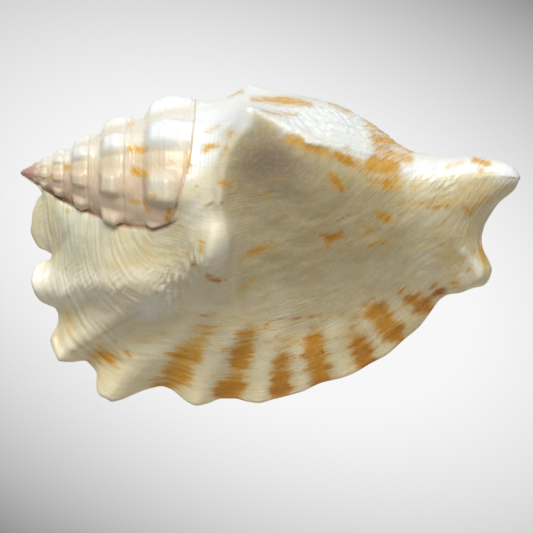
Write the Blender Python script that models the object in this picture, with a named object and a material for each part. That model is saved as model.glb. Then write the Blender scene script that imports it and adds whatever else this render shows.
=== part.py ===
"""Rooster conch shell, lying mouth down: one closed loft of cross sections from the apex to the canal.

Each section is one closed loop. It starts under the body whorl, goes round the back and over the top,
runs out along the flared lip to its edge, comes back under the lip, dips into the mouth and ends where
it started. Lengths in the tables are millimetres from the apex: x along the shell to the canal, y
towards its back, z towards its top."""

import math

import bmesh
import bpy
import numpy as np
from mathutils import Euler

# Driving sizes
MM = 0.001
SHELL_LENGTH = 140.0  # apex to the tip of the canal
APEX_TILT = 5.0  # degrees that the coil's axis rises from the apex to the canal
AXIS_FALL = 3.0  # degrees that it turns towards the lip
EDGE_THICKNESS = 1.8  # wall at the lip's edge
WALL_THICKNESS = 3.2  # wall where the lip leaves the body
THIN_AT_SPIRE, THIN_AT_TIP = 0.25, 0.3  # shares of its thickness that the lip has at its two ends
THICKNESS_LEAN = 0.8  # how far the way that it is measured leans upwards
TIP_RISE = 0.8  # how far the canal's very tip stands out from its last section
BODY_RADIUS = 24.0  # of the last turn, where its shoulder knobs stand

# How finely the loft is cut
STATIONS = 86
# How closely the sections stand: everywhere, more for a long piece of lip edge, for the spire and for the tip
EVERYWHERE, AT_LIP_EDGE, ON_SPIRE, AT_TIP = 0.6, 0.45, 0.7, 1.5
BELLY_POINTS = 9
CORE_POINTS = 28
LIP_POINTS = 14
UNDERSIDE_POINTS = 8
MOUTH_POINTS = 4

# The coil's axis: x, y, z
AXIS = [
    (0, 0, -5.7), (22.5, -1.1, -3.7), (50.7, -2.5, -1.2), (78.9, -3.9, 1.2),
    (101.4, -4.5, 3.0), (115.5, -3.1, 4.8), (129.6, -1.2, 7.4), (135.2, -0.9, 8.5), (140, -1.5, 9.5),
]
# Radius of the coil along it, between its knobs: x, radius
RADIUS = [
    (0, 0.3), (2.5, 1.5), (7.6, 4.2), (16.9, 9.1), (28.7, 15.1), (34, 16.9), (43.7, 20.4), (49.6, 21.3),
    (64.8, 23.6), (76.1, 24.4), (87.3, 22.7), (97.5, 18.0), (101.4, 15.4), (105.6, 12.2), (109.3, 9.6),
    (113.0, 8.0), (121.1, 6.3), (129.6, 5.0), (135.2, 3.6), (138.6, 2.2), (140, 1.0),
]
# Where the lip's root leaves the coil: x, degrees round from the back
ROOT_ANGLE = [
    (0, 172), (8, 172), (12, 165), (18, 153), (25, 144), (31, 142), (36.6, 136), (42.3, 130),
    (50, 114), (60, 98), (75, 88), (140, 88),
]
# The lip's edge, from where it leaves the spire round to the canal: x of its section, x, y, z
LIP_EDGE = [
    (7.0, 7.0, -5.9, -5.5), (9.9, 4.5, -9.0, -6.5), (12.7, 3.1, -14.1, -8), (15.5, 4.8, -20.0, -10),
    (17.5, 8.2, -23.1, -11.5), (19.7, 8.7, -27.0, -12), (22.3, 3.7, -31.3, -12), (25.1, 7.3, -37.5, -14.5),
    (27.3, 10.1, -42.0, -16), (29.9, 8.5, -48.5, -16), (32.4, 11.8, -54.4, -17.5),
    (35.2, 19.2, -54.1, -19), (37.7, 20.8, -59.7, -18.5), (40.3, 24.8, -64.8, -18.5),
    (45.1, 38.0, -60.0, -21), (50.7, 49.0, -66.2, -20), (56.9, 58.6, -64.2, -21.3),
    (62.8, 67.6, -65.6, -20.3), (70.4, 76.1, -64.5, -21), (78.9, 85.9, -61.4, -20.5),
    (87.3, 97.2, -56.1, -19), (95.8, 107.9, -48.2, -16.5), (104.2, 115.5, -40.8, -12.5),
    (109.9, 119.4, -34.9, -9), (114.9, 124.8, -33.5, -6.5), (120.3, 130.7, -31.8, -4),
    (124.8, 132.7, -27.0, -1.5), (129.0, 130.4, -20.0, 1), (133.2, 132.1, -13.2, 3.5),
    (136.6, 135.2, -8.7, 6), (139.2, 139.2, -4.8, 8), (140.0, 139.9, -3.4, 9),
]
# Which way the lip runs where it ends, seen from above: x of the section, degrees from the canal's direction
LIP_HEADING = [
    (0, -172), (7, -172), (12, -160), (17, -150), (22, -144), (27, -136), (32, -124), (40, -112), (50, -98),
    (60, -90), (75, -75), (90, -52), (100, -40), (110, -35), (118, -28), (124, -12), (130, 2), (140, 2),
]
LIP_JOINS_BODY = (34, 58)  # x from where to where its root turns from the spire's side onto the body
LIP_LEVEL, LIP_DROP = 0.1, 0.45  # shares of its fall that it has where it starts on the spire and at its edge
LIP_HANDLES = (0.36, 0.34)  # parts of its length that run on as it starts and as it ends
# The hollow inside the last turn: x, its height, and how far round it is cut, in degrees
MOUTH = [
    (0, 0, 0), (51, 0, 0), (58, 4, 32), (68, 7, 85), (88, 8, 95), (100, 7, 70), (108, 5, 40),
    (116, 3.0, 16), (126, 2.2, 8), (135, 1.6, 4), (140, 0.6, 0),
]
MOUTH_LIP = 222.0  # degrees round where the mouth's inner wall meets the underside
MOUTH_SILL = 160.0  # degrees round where that wall starts to rise to it
BELLY_END = -35.0  # degrees round where the sections' points come closer together

# The spire's turns: x of each suture on the shell's top
SUTURES = [0.8, 1.25, 1.97, 3.1, 5.0, 7.9, 12.6, 20.0, 30.5, 48.6]
SUTURE_LEAN = 0.11  # turns that a suture lags below and leads on top
DIP_STARTS, DIP_ENDS, FRONT_ENDS = 0.28, 0.35, 0.52  # parts of a turn: its dip, then the knobs' steep front
TOPS_FALL = 0.72  # part of a turn where the knobs' tops start to fall towards the next suture
TOPS_LEFT = 0.25  # share of their height that is left at that suture
TOPS_LEFT_BEHIND = 0.42  # share left on top of that on the shell's back, where the knobs are blockier
GIRDLE_RISE = 0.055  # height of each turn's band over its dip, as a share of the radius
SPIRE_KNOBS = 8  # on each turn
SPIRE_KNOB_START = 7.0  # degrees
SPIRE_KNOB_RISE = 0.155  # as a share of the radius
# The last suture: degrees round, x
LAST_SUTURE = [
    (-145, 40), (-90, 44), (-45, 47), (0, 48.2), (45, 49.6), (68, 49.8), (92, 48.4), (111, 46.7),
    (128, 44.4), (150, 41), (215, 40),
]
LAST_TURN_STEP = 0.4  # height of the last turn's front edge over the spire
# Knobs on the last turn's shoulder: x, degrees round, height, then how far each reaches towards the spire,
# towards the canal and round the turn
SHOULDER_KNOBS = [
    (64, 6, 2.4, 6, 12, 7), (66.3, 56, 6.0, 5.5, 10, 7),
    (64, -46, 2.4, 6, 12, 7), (61, -95, 1.8, 6, 12, 7), (57, -140, 1.0, 6, 10, 7),
]
# The shoulder that joins them: degrees round, x, height
SHOULDER = [
    (-145, 54, 0.6), (-90, 58, 1.0), (-40, 61, 1.6), (0, 62, 1.6), (55, 64.5, 2.0), (69, 61.4, 3.0),
    (86, 59.6, 3.4), (102, 58.5, 3.2), (121, 57.5, 2.2), (140, 56, 0.6), (215, 54, 0.6),
]
SHOULDER_REACH = (4.0, 11.0)  # towards the spire, towards the canal
# The keel that runs on from the highest knob and the flat flank below it: share of the radius, degrees wide
KEEL = (0.23, 15)
FLANK = (0.24, 25)
KEEL_ANGLE, KEEL_TURN = 56.0, 10.0  # degrees round at the knob, and how far the keel then turns to the lip
FLANK_ANGLE = 106.0  # degrees round
KEEL_STARTS, KEEL_TURNS, KEEL_FADES, FLANK_FADES = (50, 66), (66, 93), (74, 112), (92, 116)  # from x to x
BELLY_FLAT = (0.08, 50)  # share of the radius that the belly is flatter by, degrees wide
# Ribs on the lip: height, half width, then x, y of each point from the edge inwards
LIP_RIBS = [
    (1.2, 9.0, [(3.7, -12.5), (11.3, -15.0), (19.7, -17.0)]),
    (2.7, 4.6, [(3.7, -31.3), (14.1, -29.6), (25.4, -28.5), (36.6, -26.5), (47.9, -22.0)]),
    (3.2, 4.4, [(10.1, -53.5), (18.3, -47.3), (28.2, -40.8), (36.6, -35.2), (42.3, -31.3), (49.3, -25.4)]),
    (3.0, 5.0, [(23.9, -64.2), (31.0, -58.0), (40.8, -50.1), (50.7, -40.3)]),
    (3.0, 5.4, [(49.3, -66.0), (54.1, -55.8), (60.6, -45.9), (67.6, -37.5)]),
    (2.6, 4.8, [(67.6, -65.4), (69.9, -55.8), (71.8, -47.3), (74.6, -38.9)]),
    (2.0, 4.0, [(79.7, -63.1), (79.7, -53.0), (80.3, -44.5)]),
    (1.7, 4.0, [(91.6, -58.6), (88.7, -50.1), (87.3, -41.7)]),
    (1.6, 4.0, [(102.3, -51.8), (99.2, -44.5), (95.8, -36.1)]),
    (1.6, 3.2, [(132.4, -30.4), (128.2, -26.2), (122.5, -22.0), (115.5, -20.6)]),
    (5.0, 3.8, [(53.5, -26.0), (54.3, -20.5), (56.5, -12.0)]),
]
RIB_FADES, RIB_FADE = 0.55, 0.8  # part of its run where a rib starts to sink, and the share that it sinks by
RIB_UNDER = 0.8  # share of a rib that shows on the lip's underside

# The shell's rest: degrees about x and y that bring it down onto belly and lip, and the belly's worn flat
REST_TURN = (0.9, 0.0)
BELLY_WEAR = 1.6


def through(knots, at):
    """Smooth curve through knots of a position and its values, with no overshoot, read at the positions."""
    knots = np.array(knots, float)
    places, values = knots[:, 0], knots[:, 1:]
    step = np.diff(places)[:, None]
    rise = np.diff(values, axis=0) / step
    before, after = rise[:-1], rise[1:]
    same_way = before * after > 0
    slope = np.zeros_like(values)
    slope[1:-1] = np.where(same_way, 2 * before * after / np.where(same_way, before + after, 1), 0)
    slope[0], slope[-1] = rise[0], rise[-1]
    at = np.clip(np.asarray(at, float), places[0], places[-1])
    i = np.clip(np.searchsorted(places, at, side="right") - 1, 0, len(places) - 2)
    t = ((at - places[i]) / step[i, 0])[..., None]
    low, high = values[i], values[i + 1]
    pull = step[i] * slope[i] * t * (1 - t) ** 2 - step[i] * slope[i + 1] * t**2 * (1 - t)
    return low + (high - low) * t * t * (3 - 2 * t) + pull


def ease(value, low, high):
    """0 below low, 1 above high, smooth between."""
    t = np.clip((value - low) / (high - low), 0, 1)
    return t * t * (3 - 2 * t)


def bell(distance):
    return np.exp(-(distance**2))


def peak(distance):
    """Like bell, with a sharper top."""
    return np.exp(0.22 - np.sqrt(distance**2 * 2 + 0.22**2))


def turn_between(start, angle):
    """Degrees from start round to angle, the short way."""
    return (angle - start + 180) % 360 - 180


def coil_turns(x, angle):
    """How many turns of the spire a point lies from the apex. Sutures lean little on top, more below."""
    marks = np.array([(x_suture, turn) for turn, x_suture in enumerate(SUTURES)])
    along = np.interp(np.log(x + 0.4), np.log(marks[:, 0] + 0.4), marks[:, 1])
    lean = (angle - 90) / 360 - SUTURE_LEAN * np.sin(np.radians(angle - 90))
    return along - lean


def coil_radius(x, angle):
    """Distance of the coil's surface from its axis, at x along it, angle degrees round from the back."""
    x, angle = np.broadcast_arrays(x, angle)
    smooth = through(RADIUS, x)[..., 0]
    around = (angle + 145) % 360 - 145
    last_suture = through(LAST_SUTURE, around)[..., 0]
    root_angle = through(ROOT_ANGLE, x)[..., 0]
    past_suture = ease(x, last_suture - 0.4, last_suture + 0.4)
    under_lip = ease(around, root_angle - 3, root_angle) * (1 - ease(around, 190, 212))
    on_spire = 1 - np.maximum(past_suture, under_lip)

    part_of_turn = coil_turns(x, angle) % 1
    over_suture = 1 - ease(part_of_turn, 0, DIP_STARTS)
    front = ease(part_of_turn, DIP_ENDS, FRONT_ENDS)
    left = TOPS_LEFT + TOPS_LEFT_BEHIND * np.maximum(np.cos(np.radians(angle)), 0)
    tops = front * (1 - (1 - left) * ease(part_of_turn, TOPS_FALL, 1)) + left * over_suture
    knob = ease(0.5 + 0.5 * np.cos(np.radians((angle - SPIRE_KNOB_START) * SPIRE_KNOBS)), 0.15, 0.9)
    full_rise = smooth * (GIRDLE_RISE + SPIRE_KNOB_RISE * knob)
    spire = full_rise * tops * ease(x, 1, 5)
    edge_rise = full_rise * TOPS_LEFT * ease(root_angle - around, -3, 3)

    body = -BELLY_FLAT[0] * smooth * bell(turn_between(-90, angle) / BELLY_FLAT[1])
    for x_knob, round_knob, height, to_spire, to_canal, width in SHOULDER_KNOBS:
        reach = np.where(x < x_knob, to_spire, to_canal)
        sideways = np.radians(turn_between(round_knob, angle)) * BODY_RADIUS
        body += height * peak(np.hypot((x - x_knob) / reach, sideways / width))
    x_shoulder, rise = np.moveaxis(through(SHOULDER, around), -1, 0)
    body += rise * peak((x - x_shoulder) / np.where(x < x_shoulder, *SHOULDER_REACH))
    crest = KEEL_ANGLE + KEEL_TURN * ease(x, *KEEL_TURNS)
    keel = KEEL[0] * peak(turn_between(crest, angle) / KEEL[1]) * (1 - ease(x, *KEEL_FADES))
    flank = FLANK[0] * bell(turn_between(FLANK_ANGLE, angle) / FLANK[1]) * (1 - ease(x, *FLANK_FADES))
    body += smooth * (keel - flank) * ease(x, *KEEL_STARTS)
    body += edge_rise * (1 - ease(x - last_suture, 0, 7)) + LAST_TURN_STEP
    return smooth + on_spire * spire + (1 - on_spire) * body


def coil_point(x, angle, inwards=0.0):
    """Point on the coil, or inwards of it, in a frame whose top leans with the axis."""
    lean, fall = math.radians(APEX_TILT), math.radians(AXIS_FALL)
    back = np.array([math.sin(fall), math.cos(fall), 0])
    top = np.array([-math.sin(lean), 0, math.cos(lean)])
    x, angle = np.broadcast_arrays(x, angle)
    radius = coil_radius(x, angle) - inwards
    turn = np.radians(angle)
    centre = np.concatenate([x[..., None], through(AXIS, x)], axis=-1)
    return centre + radius[..., None] * (np.cos(turn)[..., None] * back + np.sin(turn)[..., None] * top)


def unit(vectors):
    return vectors / np.maximum(np.linalg.norm(vectors, axis=-1, keepdims=True), 1e-9)


def lip_ray(x, share):
    """The lip's smooth outer face: from its root on the coil, share 0, to its edge, share 1."""
    root_angle = through(ROOT_ANGLE, x)[..., 0]
    root = coil_point(x, root_angle)
    edge = through(LIP_EDGE, x)
    on_body = ease(x, *LIP_JOINS_BODY)[..., None]
    along_coil = unit(coil_point(x, root_angle + 1.5) - coil_point(x, root_angle - 1.5))
    outwards = edge - root
    outwards[..., 2] *= LIP_LEVEL
    start = unit(along_coil * on_body + unit(outwards) * (1 - on_body))
    length = np.linalg.norm(edge - root, axis=-1, keepdims=True)
    heading = np.radians(through(LIP_HEADING, x)[..., 0])
    drop = LIP_DROP * (edge - root)[..., 2] / length[..., 0]
    end = unit(np.stack([np.cos(heading), np.sin(heading), drop], axis=-1))
    near = root + start * LIP_HANDLES[0] * length
    far = edge - end * LIP_HANDLES[1] * length
    t = share[..., None]
    return root * (1 - t) ** 3 + 3 * near * t * (1 - t) ** 2 + 3 * far * t * t * (1 - t) + edge * t**3


def rib_relief(points):
    """Height of the lip's ribs over points, seen from above."""
    height = np.zeros(points.shape[:-1])
    for rise, half_width, line in LIP_RIBS:
        line = np.array(line, float)
        nearest = np.full(points.shape[:-1], 1e9)
        run_at = np.zeros(points.shape[:-1])
        for i in range(len(line) - 1):
            a, b = line[i], line[i + 1]
            t = np.clip(((points[..., :2] - a) @ (b - a)) / ((b - a) @ (b - a)), 0, 1)
            away = np.linalg.norm(points[..., :2] - a - t[..., None] * (b - a), axis=-1)
            run_at = np.where(away < nearest, (i + t) / (len(line) - 1), run_at)
            nearest = np.minimum(nearest, away)
        height += rise * peak(nearest / half_width) * (1 - ease(run_at, RIB_FADES, 1.0) * RIB_FADE)
    return height


def station_places():
    """x of each section: closest together where the spire turns and where the lip's edge is long."""
    fine = np.linspace(0.0, SHELL_LENGTH, 1401)
    edge = through(LIP_EDGE, fine)
    travel = np.linalg.norm(np.gradient(edge, fine, axis=0), axis=1)
    near_tip = bell((fine - SHELL_LENGTH) / 6)
    on_spire = 1 - ease(fine, 50, 75)
    weight = EVERYWHERE + AT_LIP_EDGE * np.clip(travel, 0, 4) + ON_SPIRE * on_spire + AT_TIP * near_tip
    total = np.concatenate([[0], np.cumsum((weight[1:] + weight[:-1]) / 2)])
    return np.interp(np.linspace(0, 1, STATIONS), total / total[-1], fine)


def shell_grid():
    """Points of every section, as sections by points by 3."""
    x = station_places()[:, None]
    root_angle = through(ROOT_ANGLE, x)[..., 0]
    share = np.linspace(0, 1, LIP_POINTS)[1:] + 0 * x
    grown = THIN_AT_SPIRE + (1 - THIN_AT_SPIRE) * ease(x, 7, 24)
    lip_there = (x > LIP_EDGE[0][0]) * grown * (1 - (1 - THIN_AT_TIP) * ease(x, 130, 140))

    belly = MOUTH_LIP - 360 + (BELLY_END - MOUTH_LIP + 360) * np.linspace(0, 1, BELLY_POINTS)[None] + 0 * x
    over = BELLY_END + (root_angle - BELLY_END) * np.linspace(0, 1, CORE_POINTS - BELLY_POINTS + 1)[None, 1:]
    core = coil_point(x, np.concatenate([belly, over], axis=1))

    along = x + 0 * share
    ray = lip_ray(along, share)
    ray = np.where((x > LIP_EDGE[0][0])[..., None], ray, core[:, -1:])
    # The smooth lip's slopes, leaned upwards, give the way its wall is thick
    slope_x = lip_ray(along + 0.05, share) - lip_ray(along - 0.05, share)
    slope_s = lip_ray(along, np.minimum(share + 0.01, 1)) - lip_ray(along, share - 0.01)
    normal = unit(unit(np.cross(slope_s, slope_x)) + (0, 0, THICKNESS_LEAN))
    ribs = rib_relief(ray) * ease(share, 0.0, 0.12) * lip_there
    straight_up = (ease(share, 0.2, 0.5) * ease(x, 24, 30))[..., None]
    rib = ribs[..., None] * unit(normal * (1 - straight_up) + np.array([0, 0, 1]) * straight_up)
    outer = ray + rib

    thickness = (WALL_THICKNESS + (EDGE_THICKNESS - WALL_THICKNESS) * share) * lip_there
    inner = ray + RIB_UNDER * rib - normal * thickness[..., None]
    keep = np.linspace(0, LIP_POINTS - 2, UNDERSIDE_POINTS).round().astype(int)[::-1]
    inner = inner[:, keep]

    mouth = through(MOUTH, x)
    mouth_height, mouth_turn = mouth[..., 0], mouth[..., 1]
    root_wall = WALL_THICKNESS * lip_there * (0.6 + 0.4 * ease(x, 10, 30))
    hollow = ease(x, 20, 34)
    inner_root = root_angle + np.degrees(root_wall / through(RADIUS, x)[..., 0]) * (1 - hollow)
    deep = inner_root - mouth_turn
    v = np.linspace(0, 1, MOUTH_POINTS)[None]
    wall = coil_point(x, inner_root + (deep - inner_root) * v, root_wall * hollow)
    v = np.linspace(0, 1, 2 * MOUTH_POINTS)[None, :-1]
    round_back = deep + (MOUTH_LIP - deep) * v
    cut = (root_wall * hollow + mouth_height) * (1 - ease(round_back, MOUTH_SILL, MOUTH_LIP))
    columella = coil_point(x, round_back, cut)
    grid = np.concatenate([core, outer, inner, wall, columella], axis=1)
    grid[0] = grid[0].mean(axis=0)
    grid[-1] = grid[-1].mean(axis=0) + (TIP_RISE, 0, 0)
    return grid


def at_rest(grid):
    """The grid turned onto its belly and lip, worn flat below, with the middle of its box over the origin."""
    turn = np.array(Euler([math.radians(d) for d in REST_TURN] + [0]).to_matrix())
    grid = grid @ turn.T
    floor = grid[..., 2].min() + BELLY_WEAR
    grid[..., 2] = np.maximum(grid[..., 2] - floor, 0)
    low, high = grid.min(axis=(0, 1)), grid.max(axis=(0, 1))
    return grid - [(low[0] + high[0]) / 2, (low[1] + high[1]) / 2, 0]


def loft(grid, name):
    """One closed mesh over the sections, whose first and last are a point each."""
    sections, points = grid.shape[:2]
    mesh = bpy.data.meshes.new(name)
    index = np.arange(sections * points).reshape(sections, points)
    ahead = np.roll(index, -1, axis=1)
    faces = np.stack([index[:-1], ahead[:-1], ahead[1:], index[1:]], axis=-1).reshape(-1, 4)
    mesh.from_pydata((grid.reshape(-1, 3) * MM).tolist(), [], faces.tolist())
    work = bmesh.new()
    work.from_mesh(mesh)
    bmesh.ops.remove_doubles(work, verts=work.verts, dist=0.00002)
    bmesh.ops.dissolve_degenerate(work, edges=work.edges, dist=0.00001)
    bmesh.ops.triangulate(work, faces=[f for f in work.faces if len(f.verts) > 4])
    bmesh.ops.recalc_face_normals(work, faces=work.faces)
    work.to_mesh(mesh)
    work.free()
    mesh.shade_smooth()
    return mesh


def shell_material():
    material = bpy.data.materials.new("glazed_cream_shell")
    material.use_nodes = True
    surface = material.node_tree.nodes["Principled BSDF"]
    surface.inputs["Base Color"].default_value = (0.80, 0.70, 0.52, 1)
    surface.inputs["Roughness"].default_value = 0.35
    surface.inputs["Metallic"].default_value = 0.0
    return material


def main():
    for old in list(bpy.data.objects):
        bpy.data.objects.remove(old)
    collection = bpy.data.collections.new("rooster_conch")
    bpy.context.scene.collection.children.link(collection)
    mesh = loft(at_rest(shell_grid()), "conch_shell")
    shell = bpy.data.objects.new("conch_shell", mesh)
    shell.data.materials.append(shell_material())
    collection.objects.link(shell)


main()
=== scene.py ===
"""Rooster conch shell, cream with orange-brown streaks, lying mouth down on a pale floor, seen from above.

The shell is one grown piece. Its sections below follow it from the coil to the lip, the mouth, the surface
relief and the markings. Lengths in its tables are millimetres from the apex: x along the shell to the
canal, y towards its back, z towards its top. A pair such as (20, 34) is a stretch, from the first to the
second."""

import math

import bmesh
import bpy
import numpy as np
from mathutils import Euler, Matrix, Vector, noise


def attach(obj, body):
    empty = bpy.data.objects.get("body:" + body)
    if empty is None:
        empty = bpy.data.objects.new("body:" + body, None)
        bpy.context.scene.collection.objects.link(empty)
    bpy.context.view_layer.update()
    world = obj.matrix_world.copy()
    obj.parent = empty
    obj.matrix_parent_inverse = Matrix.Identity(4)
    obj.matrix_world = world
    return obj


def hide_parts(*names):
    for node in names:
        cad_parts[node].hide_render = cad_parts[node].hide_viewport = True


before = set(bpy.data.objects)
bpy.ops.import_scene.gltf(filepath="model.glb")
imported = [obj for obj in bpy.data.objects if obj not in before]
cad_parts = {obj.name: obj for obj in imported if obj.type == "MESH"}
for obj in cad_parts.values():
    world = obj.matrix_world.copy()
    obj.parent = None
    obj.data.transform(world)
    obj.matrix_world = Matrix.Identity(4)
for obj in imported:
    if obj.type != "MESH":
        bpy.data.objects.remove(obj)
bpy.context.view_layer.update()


# The coil: spire and last turn
# A tube of hard white shell that the snail grew round one axis, each turn wider than the one before.
# Flat-topped knobs stand in rows along it, eight a turn on the spire and larger ones on the last shoulder.
SHELL_LENGTH = 140.0  # apex to the tip of the canal
APEX_TILT = 5.0  # degrees that the coil's axis rises from the apex to the canal
AXIS_FALL = 3.0  # degrees that it turns towards the lip
BODY_RADIUS = 24.0  # of the last turn, where its shoulder knobs stand
# The coil's axis: x, y, z
AXIS = [
    (0, 0, -5.7), (22.5, -1.1, -3.7), (50.7, -2.5, -1.2), (78.9, -3.9, 1.2),
    (101.4, -4.5, 3.0), (115.5, -3.1, 4.8), (129.6, -1.2, 7.4), (135.2, -0.9, 8.5), (140, -1.5, 9.5),
]
# Radius of the coil along it, between its knobs: x, radius
RADIUS = [
    (0, 0.3), (2.5, 1.5), (7.6, 4.2), (16.9, 9.1), (28.7, 15.1), (34, 16.9), (43.7, 20.4), (49.6, 21.3),
    (64.8, 23.6), (76.1, 24.4), (87.3, 22.7), (97.5, 18.0), (101.4, 15.4), (105.6, 12.2), (109.3, 9.6),
    (113.0, 8.0), (121.1, 6.3), (129.6, 5.0), (135.2, 3.6), (138.6, 2.2), (140, 1.0),
]
# The spire's turns: x of each suture on the shell's top
SUTURES = [0.8, 1.25, 1.97, 3.1, 5.0, 7.9, 12.6, 20.0, 30.5, 48.6]
SUTURE_LEAN = 0.11  # turns that a suture lags below and leads on top
LOG_LEAD = 0.4  # added to x, so that the turns' even growth can be reckoned right from the apex
SPIRE_RELIEF_STARTS = (1, 5)  # x
DIP_STARTS, DIP_ENDS, FRONT_ENDS = 0.28, 0.35, 0.52  # parts of a turn: its dip, then the knobs' steep front
TOPS_FALL = 0.72  # part of a turn where the knobs' tops start to fall towards the next suture
TOPS_LEFT = 0.25  # share of their height that is left at that suture
TOPS_LEFT_BEHIND = 0.42  # share left on top of that on the shell's back, where the knobs are blockier
GIRDLE_RISE = 0.055  # height of each turn's band over its dip, as a share of the radius
SPIRE_KNOBS = 8  # on each turn
SPIRE_KNOB_START = 7.0  # degrees
SPIRE_KNOB_RISE = 0.155  # as a share of the radius
KNOB_SLOPE = (0.15, 0.9)  # stretch of an even wave, 0 to 1, that makes the knobs' sides
# The last suture: degrees round, x
LAST_SUTURE = [
    (-145, 40), (-90, 44), (-45, 47), (0, 48.2), (45, 49.6), (68, 49.8), (92, 48.4), (111, 46.7),
    (128, 44.4), (150, 41), (215, 40),
]
TABLE_START = -145  # degrees round where the tables of the last suture and the shoulder start
LAST_TURN_STEP = 0.4  # height of the last turn's front edge over the spire
STEP_HALF = 0.4  # half the run over which that edge rises
EDGE_RISE_RUN = 7  # how far the last turn keeps the spire's rise, which it grew over
ROOT_FADE = 3  # degrees over which the coil's relief ends at the lip's root
LIP_COVERS_TO = (190, 212)  # degrees round, below
# Knobs on the last turn's shoulder: x, degrees round, height, then how far each reaches towards the spire,
# towards the canal and round the turn
SHOULDER_KNOBS = [
    (64, 6, 2.4, 6, 12, 7), (66.3, 56, 6.0, 5.5, 10, 7),
    (64, -46, 2.4, 6, 12, 7), (61, -95, 1.8, 6, 12, 7), (57, -140, 1.0, 6, 10, 7),
]
# The shoulder that joins them: degrees round, x, height
SHOULDER = [
    (-145, 54, 0.6), (-90, 58, 1.0), (-40, 61, 1.6), (0, 62, 1.6), (55, 64.5, 2.0), (69, 61.4, 3.0),
    (86, 59.6, 3.4), (102, 58.5, 3.2), (121, 57.5, 2.2), (140, 56, 0.6), (215, 54, 0.6),
]
SHOULDER_REACH = (4.0, 11.0)  # towards the spire, towards the canal
# The keel that runs on from the highest knob and the flat flank below it: share of the radius, degrees wide
KEEL = (0.23, 15)
FLANK = (0.24, 25)
KEEL_ANGLE, KEEL_TURN = 56.0, 10.0  # degrees round at the knob, and how far the keel then turns to the lip
FLANK_ANGLE = 106.0  # degrees round
KEEL_STARTS, KEEL_TURNS, KEEL_FADES, FLANK_FADES = (50, 66), (66, 93), (74, 112), (92, 116)  # from x to x
BELLY_ANGLE = -90
BELLY_FLAT = (0.08, 50)  # share of the radius that the belly is flatter by, degrees wide
PEAK_ROUND = 0.22  # how rounded the tops of knobs and keel are


def through(knots, at):
    """Smooth curve through knots of a position and its values, with no overshoot, read at the positions."""
    knots = np.array(knots, float)
    places, values = knots[:, 0], knots[:, 1:]
    step = np.diff(places)[:, None]
    rise = np.diff(values, axis=0) / step
    before, after = rise[:-1], rise[1:]
    same_way = before * after > 0
    slope = np.zeros_like(values)
    slope[1:-1] = np.where(same_way, 2 * before * after / np.where(same_way, before + after, 1), 0)
    slope[0], slope[-1] = rise[0], rise[-1]
    at = np.clip(np.asarray(at, float), places[0], places[-1])
    i = np.clip(np.searchsorted(places, at, side="right") - 1, 0, len(places) - 2)
    t = ((at - places[i]) / step[i, 0])[..., None]
    low, high = values[i], values[i + 1]
    pull = step[i] * slope[i] * t * (1 - t) ** 2 - step[i] * slope[i + 1] * t**2 * (1 - t)
    return low + (high - low) * t * t * (3 - 2 * t) + pull


def ease(value, low, high):
    """0 below low, 1 above high, smooth between."""
    t = np.clip((value - low) / (high - low), 0, 1)
    return t * t * (3 - 2 * t)


def bell(distance):
    return np.exp(-(distance**2))


def peak(distance):
    """Like bell, with a sharper top."""
    return np.exp(PEAK_ROUND - np.sqrt(distance**2 * 2 + PEAK_ROUND**2))


def turn_between(start, angle):
    """Degrees from start round to angle, the short way."""
    return (angle - start + 180) % 360 - 180


def as_in_tables(angle):
    """The same angle, between the start of the tables and a whole turn on."""
    return (angle - TABLE_START) % 360 + TABLE_START


def coil_turns(x, angle):
    """How many turns of the spire a point lies from the apex. Sutures lean little on top, more below."""
    marks = np.array([(x_suture, turn) for turn, x_suture in enumerate(SUTURES)])
    along = np.interp(np.log(x + LOG_LEAD), np.log(marks[:, 0] + LOG_LEAD), marks[:, 1])
    lean = (angle - 90) / 360 - SUTURE_LEAN * np.sin(np.radians(angle - 90))
    return along - lean


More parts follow.
